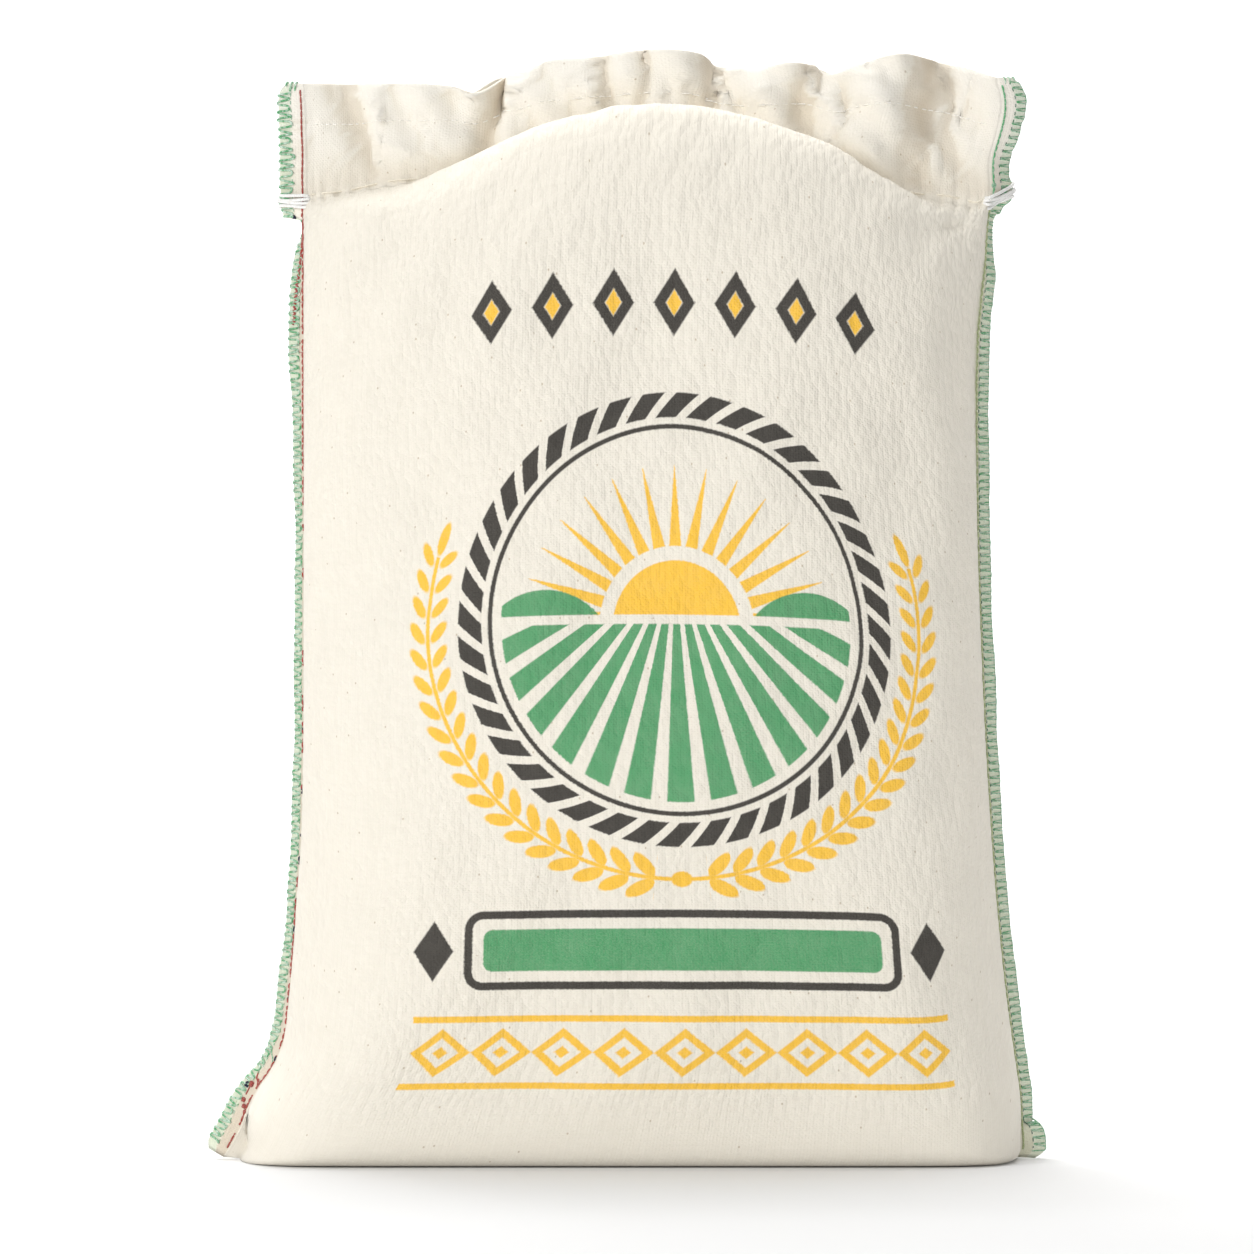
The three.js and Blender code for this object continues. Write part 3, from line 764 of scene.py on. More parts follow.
def make_cloth(form):
    """The whole cloth: front and back sheets that share the fold under the base, the open mouth between
    them with its rounded lips, and the raw edges of the allowances."""
    out = np.linspace(1, 2, ALLOWANCE_COLUMNS + 1)[1:]
    even = np.linspace(-1, 1, BODY_COLUMNS)
    body = mix(even, np.sin(np.pi / 2 * even), 0.5)
    across = np.concatenate([-out[::-1], body, out])[None, :]
    even = np.linspace(0, 1, BODY_ROWS + 1)[1:]
    rows = even - 0.5 * np.sin(2 * np.pi * even) / (2 * np.pi)
    collar = np.linspace(1, 2, COLLAR_ROWS + 1)[1:]
    up = np.concatenate([[0, FIRST_ROW], rows[rows > FIRST_ROW + 0.002], collar])[:, None]
    surface = Surface()
    sheets = {}
    for facing in (1, -1):
        points = form.plain_point(across, up, facing)
        normal = grid_normals(points) * facing
        settle = smooth(points[..., 2], 0.004, 0.02) * np.clip(2 - np.abs(across), 0, 1) ** 0.3
        points = points + normal * (form.relief(across, up, facing) * settle)[..., None]
        x, y = form.flat_place(across, up)
        uv = np.stack([x, y + (0 if facing > 0 else 1)], -1)
        # The mark attribute carries the collar's painted shade, and painted light where it is below nothing
        sheets[facing] = surface.place(points, uv, form.shade(across, up, facing))
    front, back = sheets[1], sheets[-1]
    surface.share(back[0], front[0])
    surface.skin(front)
    surface.skin(back, flip=True)
    mouth = add_mouth(surface, form, across)
    surface.share(mouth[0], front[-1])
    surface.share(mouth[-1], back[-1])
    surface.skin(mouth)
    for column, flip in ((0, True), (-1, False)):
        edge = np.stack([front[1:, column], back[1:, column]], -1)
        surface.skin(edge, flip)
        tip = [front[0, column], back[1, column], front[1, column]]
        end = mouth[::-1, column]
        surface.rings += [tip[::-1] if flip else tip, end[::-1] if flip else end]
    return surface


def add_mouth(surface, form, across):
    """The lips and the gap between the two sheets: over the front sheet's lip, down inside it to the
    closing seam, across, and up inside the back sheet. Over the allowances it is only a groove."""
    lip = np.radians([25, 60, 95, 130, 160])
    down = np.linspace(0.02, 0.96, MOUTH_ROWS)
    u = np.clip(across, -1, 1)
    open_here = smooth(1 - np.abs(across), 0.0, 0.035)
    thick = form.s.cloth_thickness / 2
    beyond = np.abs(across) > 1
    rows = []
    for facing in (1, -1):
        outer = np.where(beyond, form.s.allowance_thickness / 2, form.sheet_offset(u, 2.0 + 0 * u))
        inner = np.minimum(0.06 * MM + form.opening(u, 2.0 + 0 * u), outer - 0.3 * MM)
        round_half = np.minimum((outer - inner) / 2, thick)
        centre = outer - round_half
        half = []
        for a in lip:
            offset = facing * (centre + round_half * np.cos(a))
            half.append(mouth_row(form, across, 2.0, offset, round_half * np.sin(a)))
        for share_down in down:
            level = 2.0 - share_down * mix(0.02, 1.0, open_here)
            gap = np.where(beyond, inner, 0.06 * MM + form.opening(u, level) * open_here)
            half.append(mouth_row(form, across, level, facing * np.minimum(gap, inner), 0.0))
        rows += half if facing > 0 else half[::-1]
    points = np.concatenate(rows)
    edge = form.plain_point(across, np.array([[2.0]]), 1)
    points = np.concatenate([edge, points, edge])
    x, y = form.flat_place(across, np.array([[2.0]]))
    run = np.linspace(0, 0.05, len(points))[:, None]
    return surface.place(points, np.stack(np.broadcast_arrays(x, y + run), -1))


def mouth_row(form, across, level, offset, rise):
    """One row of points of the mouth at a level, an offset from the middle and a rise above it."""
    u = np.clip(across, -1, 1)
    level = np.broadcast_to(level, across.shape).astype(float)
    points = form.collar_point(u, level, np.broadcast_to(offset, across.shape))
    for side in (-1, 1):
        distance = (np.abs(across) - 1).clip(0) * form.s.allowance
        beyond = form.allowance_point(side, level, distance, offset)
        points = np.where((side * across > 1)[..., None], beyond, points)
    points = points + form.shift
    points[..., 2] += rise
    return points


SEAM_LOW, SEAM_HIGH = 0.006, 1.995  # levels where the side seams' threads start and end


def seam_run(form, side):
    """Levels along a side seam against the distance along it, measured in the allowance."""
    levels = np.linspace(SEAM_LOW, SEAM_HIGH, 1500)
    points = form.allowance_point(side, levels, 0.8 * form.s.allowance, 0.0)
    run = np.concatenate([[0], np.cumsum(np.linalg.norm(np.diff(points, axis=0), axis=1))])
    return levels, run


def per_stitch(count, at, spread, rng):
    """A random offset for each stitch, run smoothly into the next."""
    return np.interp(at, np.arange(count + 2), rng.normal(0, spread, count + 2))


# How the overlocks differ, left and right: shares of the stitch pitch and of the thread's radius, how
# square the swings are, how they slant, how far their sides spread, how loosely they are sewn, and how
# soon the thread lies on the cloth from the raw edge
OVERLOCKS = {
    -1: dict(pitch=1.07, radius=1.3, square=1.6, slant=0.2, spread=0.03, loose=1.8, lie=0.16),
    1: dict(pitch=0.93, radius=0.8, square=3.0, slant=0.0, spread=-0.115, loose=1.0, lie=0.07),
}


def overlock_radius(form, side):
    return form.s.thread_radius * OVERLOCKS[side]["radius"]


def overlock_tail(form, side):
    """The end of the thread chain, wound over the top corner of the allowance: a helix squashed flat."""
    turn = np.linspace(0, 5 * np.pi, 90)
    share_in = turn / turn[-1]
    radius = overlock_radius(form, side)
    distance = mix(0.86, 0.25, share_in) * form.s.allowance
    wall = (form.s.allowance_thickness / 2 + radius) * np.cos(turn)
    level = 1.985 + 0.0 * turn
    path = form.thread_point(side, level, distance, wall)
    rise = np.where(np.sin(turn) > 0, 1.3 * MM + radius, 2.4 * MM)
    path[:, 2] += rise * np.sin(turn)
    return path, np.array([side * 1.0, 0.0, 0.0])


def overlock_path(form, side, facing, seed):
    """A looper thread: it swings between the needle line and the raw edge, a cosine squared off by a
    hyperbolic tangent, and goes round the edge. Squarer swings make hairpins, soft ones a zigzag."""
    rng = np.random.default_rng(seed)
    levels, run = seam_run(form, side)
    look = OVERLOCKS[side]
    pitch, square, loose = form.s.overlock_pitch * look["pitch"], look["square"], look["loose"]
    count = int(run[-1] / pitch - 0.4)
    at = np.arange(count * 16 + 1) / 16
    swing = np.cos(2 * np.pi * at)
    inward = 0.5 + 0.5 * np.tanh(square * swing) / np.tanh(square)
    along = at + look["spread"] * np.sin(2 * np.pi * at) + look["slant"] * inward * np.sin(np.pi * at + 0.3)
    along = along + per_stitch(count, at, 0.05 * loose, rng)
    level = np.interp(np.clip(pitch * (along + 0.2), 0, run[-1]), run, levels)
    radius = overlock_radius(form, side)
    needle = form.s.allowance - form.s.overlock_width + per_stitch(count, at, 0.25 * MM * loose, rng)
    reach = form.s.allowance + radius + per_stitch(count, at, 0.12 * MM * loose, rng)
    distance = mix(reach, needle, inward)
    lies = smooth(inward, 0.0, look["lie"])
    wall = mix(0.55 * radius, form.s.allowance_thickness / 2 + 0.9 * radius, lies)
    path = form.thread_point(side, level, distance, facing * wall)
    _, out, face = form.seam_axes(side, level)
    along_seam = np.cross(face, out) * side
    return path, 0.6 * out - 0.5 * along_seam * np.sign(along_seam[..., 2:3]) + 0.6 * facing * face


def edge_path(form, seed):
    """The strand that lies along the right raw edge and joins the hairpins' outer ends."""
    levels, run = seam_run(form, 1)
    at = np.linspace(0.3, run[-1] / form.s.overlock_pitch - 1.2, 1300)
    level = np.interp(at * form.s.overlock_pitch, run, levels)
    rng = np.random.default_rng(seed)
    sway = per_stitch(int(at[-1]), at, 0.12 * MM, rng)
    radius = form.s.thread_radius * (1.0 + 0.18 * np.sin(2 * np.pi * at + 1))
    path = form.thread_point(1, level, form.s.allowance + 0.1 * MM + sway, 0.45 * MM)
    _, out, face = form.seam_axes(1, level, 2)
    return path, out + face, radius


def needle_path(form, side):
    """The overlock's needle thread: low stitches along the needle line, sunk into the cloth between."""
    levels, run = seam_run(form, side)
    pitch = form.s.overlock_pitch
    count = int(run[-1] / pitch) - 1
    at = np.arange(count * 8 + 1) / 8
    level = np.interp(pitch * (at + 0.6), run, levels)
    radius = form.s.thread_radius * 0.75
    sink = np.abs(np.cos(np.pi * at)) ** 4
    wall = form.s.allowance_thickness / 2 + mix(-2.4 * radius, 1.0 * radius, sink)
    distance = form.s.allowance - form.s.overlock_width - 0.25 * MM + 0 * at
    path = form.thread_point(side, level, distance, wall)
    _, out, _ = form.seam_axes(side, level)
    return path, out


def navy_marks(at, level):
    """Where the left stitch shows the dark thread of its other side: a few stitches low down."""
    return smooth(ripples(at, 0, 4.7, 35), 0.75, 0.95) * (level < 0.45) * (level > 0.1)


# The braid: its loops, the level where it ends, and its levels with shares of the allowance's width
BRAID_LOOPS = 23
BRAID_END = 0.872
BRAID_PLACES = [
    (0.979, 0.25),
    (0.96, 0.48),
    (0.934, 0.58),
    (0.909, 0.7),
    (0.885, 0.77),
]


def braid_path(form):
    """The left stitch's loops where the seam twists below the neck: a zigzag towards the raw edge."""
    at = np.linspace(0, BRAID_LOOPS, 300)
    level = mix(BRAID_PLACES[0][0], BRAID_END, at / BRAID_LOOPS)
    swing = np.abs((at - np.floor(at)) * 2 - 1)
    places = np.array(BRAID_PLACES)
    out = np.interp(-level, -places[:, 0], places[:, 1])
    distance = (out + 0.1 * (swing - 0.5)) * form.s.allowance
    radius = form.s.thread_radius * 1.3
    path = form.thread_point(-1, level, distance, form.s.allowance_thickness / 2 + 0.8 * radius)
    _, outward, _ = form.seam_axes(-1, level)
    return path, outward, radius


def strand_path(form, low, high, start=0.12, end=0.62):
    """A loose strand over the left allowance, from one share of its width and level to another."""
    s = np.linspace(0, 1, 12)
    distance = mix(start, end, s) * form.s.allowance
    level = mix(low, high, s) + 0.001 * np.sin(7 * s)
    path = form.thread_point(-1, level, distance, form.s.allowance_thickness / 2 + 0.1 * MM)
    return path, np.array([0.0, 0.0, 1.0])


def knot_path(form, side, level, distance, size):
    """A tangle of thread on an allowance: waves of 5 and 7 turns across it, 4 and 9 along it, 7 over it."""
    turn = np.linspace(0, 2 * np.pi, 90, endpoint=False)
    share_out = size * (np.sin(5 * turn) + 0.5 * np.sin(7 * turn + 1)) / form.s.allowance
    along = size * (np.cos(4 * turn) + 0.4 * np.cos(9 * turn)) / form.s.filled_height
    wall = form.s.allowance_thickness / 2 + 0.5 * size * (1 + np.sin(7 * turn))
    at = level + along * (form.s.filled_height / form.s.collar_height if level > 1 else 1)
    path = form.thread_point(side, at, (distance + share_out) * form.s.allowance, wall)
    return path, np.array([0.3, 0.4, 0.86])


SIDE_STITCH_PITCH = 3.2 * MM
SIDE_STITCH_PLACE = 1.2 * MM  # out from the side seam


def side_stitch_path(form, side, facing):
    """The stitch that joins the sheets: a row of raised stitches on each face. On the left most of them
    stay hidden in the cloth at mid height, and the stitches near the top and the foot show."""
    levels, run = seam_run(form, side)
    count = int(run[-1] / SIDE_STITCH_PITCH) - 1
    at = np.arange(count * 10 + 1) / 10
    level = np.interp(SIDE_STITCH_PITCH * (at + 0.4), run, levels)
    radius = form.s.thread_radius * (1.25 if facing > 0 else 1.0)
    high = np.abs(np.sin(np.pi * at)) ** 0.6
    sparse = ripples(at, 0, 3.1, 31) + 0.7 * ripples(at, 0, 9.0, 32)
    seen = mix(-0.75, 1.6, np.maximum(smooth(level, 0.66, 0.74), 1 - smooth(level, 0.2, 0.36)))
    hidden = smooth(sparse - seen, 0.0, 0.3) * (side < 0)
    lift = mix(-1.2 * radius, 0.8 * radius, high) - 2.2 * radius * hidden
    wall = facing * (form.s.allowance_thickness / 2 + lift)
    distance = SIDE_STITCH_PLACE + 0.12 * MM * np.sin(at * 0.9)
    path = form.thread_point(side, level, distance, wall)
    _, out, _ = form.seam_axes(side, level)
    mark = navy_marks(at, level) if side < 0 else level < 1
    return path, out, form.s.thread_radius * 1.2, mark


class Value:
    """A number that changes over the surface. Python's operators on it add Math nodes."""

    def __init__(self, maker, socket):
        self.maker, self.socket = maker, socket

    def maths(self, operation, *others, first=None):
        """A Math node on this value and others, or with another value first."""
        inputs = ([first] if first is not None else []) + [self] + list(others)
        return self.maker.value("ShaderNodeMath", {"operation": operation}, dict(enumerate(inputs)))

    def __add__(self, other):
        return self.maths("ADD", other)

    def __sub__(self, other):
        return self.maths("SUBTRACT", other)

    def __rsub__(self, other):
        return self.maths("SUBTRACT", first=other)

    def __mul__(self, other):
        return self.maths("MULTIPLY", other)

    def __truediv__(self, other):
        return self.maths("DIVIDE", other)

    def __pow__(self, other):
        return self.maths("POWER", other)

    def __abs__(self):
        return self.maths("ABSOLUTE")

    __radd__, __rmul__ = __add__, __mul__

    def lower(self, other):
        return self.maths("MINIMUM", other)

    def higher(self, other):
        return self.maths("MAXIMUM", other)

    def sine(self):
        return self.maths("SINE")

    def fraction(self):
        return self.maths("FRACT")

    def over(self, edge):
        return self.maths("GREATER_THAN", edge)

    def ramp(self, low, high):
        """0 at low, 1 at high, straight between and held outside."""
        sockets = {"Value": self, "From Min": low, "From Max": high}
        return self.maker.value("ShaderNodeMapRange", {"clamp": True}, sockets)


def apart(x, y):
    """Distance of a point from the origin."""
    return (x * x + y * y) ** 0.5


class Maker:
    """Builds one material's nodes."""

    def __init__(self, name):
        self.material = bpy.data.materials.new(name)
        self.material.use_nodes = True
        self.tree = self.material.node_tree
        self.tree.nodes.clear()

    def node(self, kind, settings=None, sockets=None):
        """A node with its settings, and its sockets set to numbers or linked."""
        node = self.tree.nodes.new(kind)
        for key, setting in (settings or {}).items():
            setattr(node, key, setting)
        for key, given in (sockets or {}).items():
            given = given.socket if isinstance(given, Value) else given
            if isinstance(given, bpy.types.NodeSocket):
                self.tree.links.new(given, node.inputs[key])
            else:
                node.inputs[key].default_value = given
        return node

    def value(self, kind, settings=None, sockets=None, output=0):
        return Value(self, self.node(kind, settings, sockets).outputs[output])

    def flat(self):
        """The piece's own UV map, in millimetres: across and along."""
        uv = self.node("ShaderNodeUVMap", {"uv_map": "Cloth"}).outputs[0]
        parts = self.node("ShaderNodeSeparateXYZ", None, {0: uv})
        return Value(self, parts.outputs[0]) * 1000, Value(self, parts.outputs[1]) * 1000

    def noise(self, x, y, size, detail=2.0, rough=0.5):
        """Noise from 0 to 1 with features of a size in millimetres."""
        at = self.node("ShaderNodeCombineXYZ", None, {0: x, 1: y, 2: 0.0}).outputs[0]
        sockets = {"Vector": at, "Scale": 1 / size, "Detail": detail, "Roughness": rough}
        return self.value("ShaderNodeTexNoise", {"noise_dimensions": "2D"}, sockets)

    def cells(self, x, y, size):
        """Distance to the nearest of scattered points, a size apart in millimetres."""
        at = self.node("ShaderNodeCombineXYZ", None, {0: x, 1: y, 2: 0.0}).outputs[0]
        sockets = {"Vector": at, "Scale": 1 / size}
        return self.value("ShaderNodeTexVoronoi", {"voronoi_dimensions": "2D"}, sockets)

    def blend(self, factor, under, over):
        """A colour laid over another."""
        under = (*under, 1.0) if isinstance(under, tuple) else under
        over = (*over, 1.0) if isinstance(over, tuple) else over
        return self.node("ShaderNodeMix", {"data_type": "RGBA"}, {0: factor, 6: under, 7: over}).outputs[2]

    def finish(self, base, roughness, height=None, **constants):
        """The surface shader with its bump, a height in millimetres."""
        sockets = {"Base Color": base, "Roughness": roughness}
        for key, given in constants.items():
            sockets[key.replace("_", " ")] = given
        if height is not None:
            bump = {"Strength": 1.0, "Distance": MM, "Height": height}
            sockets["Normal"] = self.node("ShaderNodeBump", None, bump).outputs[0]
        shader = self.node("ShaderNodeBsdfPrincipled", None, sockets)
        self.node("ShaderNodeOutputMaterial", None, {"Surface": shader.outputs[0]})
        return self.material


def inside(distance, soft=0.3):
    """Ink where a signed distance in millimetres is negative, with a soft edge."""
    return 1 - (distance / (2 * soft) + 0.5).ramp(0.0, 1.0)


def lozenge(x, y, half_width, half_height):
    """Signed distance, roughly, to a diamond."""
    return (abs(x) / half_width + abs(y) / half_height - 1) * (0.7 * half_width)


def plate(x, y, half_width, half_height, corner):
    """Signed distance to a rectangle with round corners."""
    dx = abs(x) - (half_width - corner)
    dy = abs(y) - (half_height - corner)
    return apart(dx.higher(0), dy.higher(0)) + dx.higher(dy).lower(0) - corner


def repeat(x, pitch):
    """The same coordinate in every cell of a row, 0 in each middle."""
    return ((x / pitch + 0.5).fraction() - 0.5) * pitch


# Pitches of the cloth's threads, of its slanting ribs and of the grains behind it, in millimetres
WARP_PITCH = 1.25
WEFT_PITCH = 1.0
TWILL_PITCH = 1.9
RICE_PITCH = 3.4

# The print, in millimetres: the field's place from the cloth's middle line and from the fold, then
# heights above the field's foot, radii and pitches
PRINT_MIDDLE = 15
PRINT_FOOT = 58
ROUNDEL_HEIGHT = 228
ROUNDEL_RADIUS = 96
SUN_RADIUS = 28
RAYS_FROM, RAYS_TO = 34, 68
RAY_STEP = np.pi / 15  # radians, as is the next
FURROW_STEP = 0.185
WREATH_RADIUS = 110
GRAIN_PITCH = 11
CROWN_HEIGHT = 360
CROWN_PITCH = 27.0
PLATE_HEIGHT = 88
BORDER_HEIGHT = 44
BORDER_PITCH = 25.0
BORDER_HALF = 10.5


def roundel(x, y, angle, far):
    """A rope ring round a rising sun over a field: charcoal, golden and green masks."""
    twist = (angle * (40 / (2 * np.pi)) + far / 15).fraction()
    rope = inside(abs(far - (ROUNDEL_RADIUS - 5)) - 5.2) * inside(0.17 - abs(twist - 0.5), 0.02)
    line = inside(abs(far - (ROUNDEL_RADIUS - 14)) - 1.0)
    window = inside(far - (ROUNDEL_RADIUS - 19))
    sky, ground = inside(3 - y), inside(y + 1)
    from_sun = apart(x, y + 2)
    ray_angle = (x / (y + 2).higher(0.01)).maths("ARCTANGENT")
    ray = abs(repeat(ray_angle, RAY_STEP)) * from_sun
    rays = inside(ray - (RAYS_TO + 2 - from_sun) * 0.075) * inside(RAYS_FROM - from_sun)
    rays = rays * inside(from_sun - RAYS_TO)
    sun = inside(from_sun - SUN_RADIUS).higher(rays) * sky * window
    hill = apart(abs(x) - 58, y + 17) - 31
    hills = inside(hill) * sky
    furrow_angle = (x / (26 - y)).maths("ARCTANGENT")
    furrows = inside(abs(repeat(furrow_angle, FURROW_STEP)) - 0.058, 0.004) * ground
    field = hills.higher(furrows) * window
    return rope.higher(line), sun * inside(-1.6 - hill), field


def wreath(angle, far):
    """Two stems of grain that rise from the foot of the roundel, each ending in a grain: golden."""
    along = abs(angle) * WREATH_RADIUS
    beside = far - WREATH_RADIUS
    last = 6 + 18 * GRAIN_PITCH
    slim = (along / last).ramp(0.0, 1.0) * 0.3
    cell = repeat(along - 6, GRAIN_PITCH)
    grains = inside((apart((along - last - 8) / 7.5, beside / 2.2) - 1) * 2.5)
    body = inside(along - last - GRAIN_PITCH / 2) * inside(6 + GRAIN_PITCH / 2 - along)
    for side in (-1, 1):
        lean = 0.62 * side
        shifted = beside - 5.0 * side
        a = cell * np.cos(lean) + shifted * np.sin(lean)
        b = shifted * np.cos(lean) - cell * np.sin(lean)
        grains = grains.higher(inside((apart(a / 6.6, b / 2.7) - (1.1 - slim)) * 2.5) * body)
    stem = inside(abs(beside) - 0.9) * inside(along - last)
    return grains.higher(stem).higher(inside((apart(along / 4.6, beside / 3.4) - 1) * 3))


def border(x, y):
    """Two crossing zigzags that leave a row of diamonds, a small diamond in each, between two lines."""
    half = BORDER_HALF
    edge = (abs(repeat(x, BORDER_PITCH)) / (BORDER_PITCH / 2) + abs(y) / half - 1) * (0.64 * half)
    lattice = inside(abs(edge + 1.3) - 1.3)
    beads = inside(edge + 5.0)
    lines = inside(abs(abs(y) - half - 4) - 1.4)
    return lattice.higher(beads).higher(lines) * inside(abs(x) - 112.5)


def print_masks(maker, x, y):
    """The whole print: charcoal, golden and green masks over the front."""
    wobble = (maker.noise(x, y, 1.0, 1.0) - 0.5) * 0.7
    x, y = x - PRINT_MIDDLE + wobble, y - PRINT_FOOT + wobble * 0.7
    up = y - ROUNDEL_HEIGHT
    far = apart(x, up)
    angle = x.maths("ARCTAN2", 0 - up)
    side = abs(x)
    charcoal, golden, green = roundel(x, up, angle, far)
    row = repeat(x, CROWN_PITCH)
    crown = lozenge(row, y - CROWN_HEIGHT, 9.5, 13.5)
    plate_edge = plate(x, y - PLATE_HEIGHT, 92, 17, 8)
    charcoal = charcoal.higher(inside(abs(crown + 2.1) - 1.9) * inside(side - 95))
    charcoal = charcoal.higher(inside(abs(plate_edge + 1.7) - 1.7))
    charcoal = charcoal.higher(inside(lozenge(side - 105, y - PLATE_HEIGHT, 8.5, 13)))
    golden = golden.higher(wreath(angle, far)).higher(border(x, y - BORDER_HEIGHT))
    golden = golden.higher(inside(lozenge(row, y - CROWN_HEIGHT, 3.4, 5.2)) * inside(side - 95))
    green = green.higher(inside(plate(x, y - PLATE_HEIGHT, 84, 9, 4)))
    return charcoal, golden, green


def cotton_material(colours, seam):
    """Unbleached cotton: a wavering plain weave with slubs and specks of seed, inks that sink into it, and
    the grain inside pressing through. Beside its seam the right allowance is pale green and the left has
    painted shade;
    the collar has painted shade in its creases and painted light where it lies plain."""
    maker = Maker("Printed cotton")
    x, y = maker.flat()
    drift = maker.noise(x, y, 9.0, 1.0)
    warp = (x * (2 * np.pi / WARP_PITCH) + drift * 3.0).sine()
    weft = (y * (2 * np.pi / WEFT_PITCH) + drift * 4.0).sine()
    slub = maker.noise(x, y * 0.06, 1.3, 1.0)
    pick = maker.noise(x * 0.07, y, 1.2, 1.0)
    fuzz = maker.noise(x, y, 0.6, 2.0, 0.6)
    charcoal, golden, green = print_masks(maker, x, y)
    mottle = (drift - 0.5) * 0.08 + (slub - 0.5) * 0.22 + (pick - 0.5) * 0.14 + warp * 0.03
    light = (mottle + (fuzz - 0.5) * 0.2 + 0.5).ramp(0.0, 1.0)
    base = maker.blend(light, tuple(0.84 * c for c in colours.cotton), lighter(colours.cotton, 0.25))
    speck = maker.cells(x, y * 0.8, 15.0)
    fleck = (1 - speck.ramp(0.014, 0.034)) * drift.over(0.45)
    base = maker.blend(fleck * 0.55, base, tuple(colours.seed))
    beyond = abs(x) - seam
    sewn = (beyond + fuzz * 1.6 - 6.6).ramp(0.0, 0.8)
    base = maker.blend(sewn * 0.36, base, tuple(colours.fluff))
    flap = (beyond - 0.3).ramp(0.0, 0.4) * (1 - (beyond - 5.5).ramp(0.0, 1.0))
    flap = flap * (1 - ((y / 1000).fraction() * 1000 - 478).ramp(0.0, 6.0))
    # Right allowance: the pale green of its stitching. Left allowance: painted shade in light brown, where
    # the body shades it
    base = maker.blend(flap * x.over(0) * 0.4, base, tuple(colours.faded_stitch))
    base = maker.blend(flap * (0 - x).over(0) * 0.4, base, tuple(colours.tan))
    # Painted shade in light brown where the mark is above nothing, painted light in pale cotton where it is
    # below
    painted_shade_and_light = maker.value("ShaderNodeAttribute", {"attribute_name": "mark"}, None, 2)
    base = maker.blend(painted_shade_and_light, base, tuple(colours.tan))
    base = maker.blend(0 - painted_shade_and_light, base, lighter(colours.cotton, 0.7))
    grain = ((fuzz - 0.5) * 1.6 + warp * weft * 0.15 + (drift - 0.5) * 0.3).ramp(-0.3, 0.6)
    inks = ((golden, colours.golden, 0.16), (green, colours.green, 0.24), (charcoal, colours.charcoal, 0.07))
    for mask, ink, thin in inks:
        base = maker.blend(mask * (1.0 - grain * thin), base, tuple(ink))
    grains = maker.cells(x + drift * 3, y * 0.62, RICE_PITCH)
    filled = (y - 62).ramp(0.0, 20.0) * (1 - (y - 500).ramp(0.0, 30.0))
    twill = ((x * 0.8 + y) * (2 * np.pi / TWILL_PITCH) + drift * 9).sine()
    height = warp * 0.03 + weft * 0.022 + twill * 0.02 + slub * 0.07 + fuzz * 0.1 - grains * filled * 0.62
    return maker.finish(base, 0.92, height, Sheen_Weight=0.08, Sheen_Roughness=0.5, Specular_IOR_Level=0.25)


def thread_material(name, main, other, marked=None):
    """Spun thread: a spiral of plies, with light and dark fibres. Marked stretches take another colour."""
    maker = Maker(name)
    around, along = maker.flat()
    ply = (along * (2 * np.pi / 0.95) + around * (2 * np.pi * 2)).sine()
    tone = maker.noise(along, around, 1.6, 2.0)
    base = maker.blend(tone.ramp(0.35, 0.7), tuple(main), tuple(other))
    if marked:
        mark = maker.value("ShaderNodeAttribute", {"attribute_name": "mark"}, None, 2)
        base = maker.blend(mark, base, tuple(marked))
    return maker.finish(base, 0.85, ply * 0.06, Sheen_Weight=0.3, Sheen_Roughness=0.4, Specular_IOR_Level=0.3)


def lighter(rgb, factor):
    """A colour moved towards white by a share."""
    return tuple(c + (1 - c) * factor for c in rgb)


NEARLY_UP = np.array([0.0, 0.25, 1.0])

# Radii of the loose threads, in metres: green ends and knots, thin and thick red strands, red knots
LOOSE_RADIUS = 0.3 * MM
FINE_RADIUS = 0.16 * MM
STRAND_RADIUS = 0.34 * MM
KNOT_RADIUS = 0.26 * MM

# Tangles in the overlock of each side: level, share of the allowance's width, size in millimetres
EDGING_KNOTS = {
    -1: ((0.069, 0.62, 0.7), (0.984, 0.5, 0.5)),
    1: ((1.09, 0.6, 0.9), (1.13, 0.1, 0.6)),
}

# Strands that cross the left allowance below the neck: the levels of their two ends
HIGH_STRANDS = [
    (0.912, 0.9),
    (0.893, 0.898),
    (0.868, 0.871),
    (0.853, 0.852),
    (0.84, 0.846),
]

# Loose ends of the left stitch low down: two levels, and two shares of the allowance's width
LOW_STRANDS = [
    (0.0726, 0.083, 0.14, 0.55),
    (0.0765, 0.08, 0.2, 0.5),
    (0.061, 0.0735, 0.42, 0.46),
]

# Tangles of the left stitch: level, share of the allowance's width, size in millimetres
LEFT_KNOTS = [
    (0.0715, 0.44, 0.75),
    (0.056, 0.38, 0.6),
    (0.051, 0.22, 0.6),
    (0.0465, 0.1, 0.4),
]

# Height of the lowest turn of string over the end of the closing seam, and the climb of each turn
# towards the raw edge, in millimetres
WINDING_LOW = {-1: -2.4, 1: -3.2}
WINDING_CLIMB = {-1: 0.5, 1: 6.5}

# Turns of string: height over the lowest, reach past the cloth's edges and extra climb, in millimetres
WINDING_TURNS = [
    (0.0, 0.3, 0.0),
    (1.5, 0.9, 0.4),
    (3.1, 0.6, -0.5),
    (4.5, 0.2, 0.5),
]


def form_and_colours(context):
    """The sack's form worked out from the scene's sizes, and the scene's colours."""
    return SackForm(context.scene.sack_sizes), context.scene.sack_colours


class SACK_OT_cloth(bpy.types.Operator):
    """Make the printed cotton sack with its filling, collar and seam allowances"""

    bl_idname = "sack.cloth"
    bl_label = "Cloth"

    def execute(self, context):
        form, colours = form_and_colours(context)
        material = cotton_material(colours, form.flat_across[1][-1] / MM)
        make_cloth(form).object("cloth", material, "cotton", ["sack"])
        return {"FINISHED"}


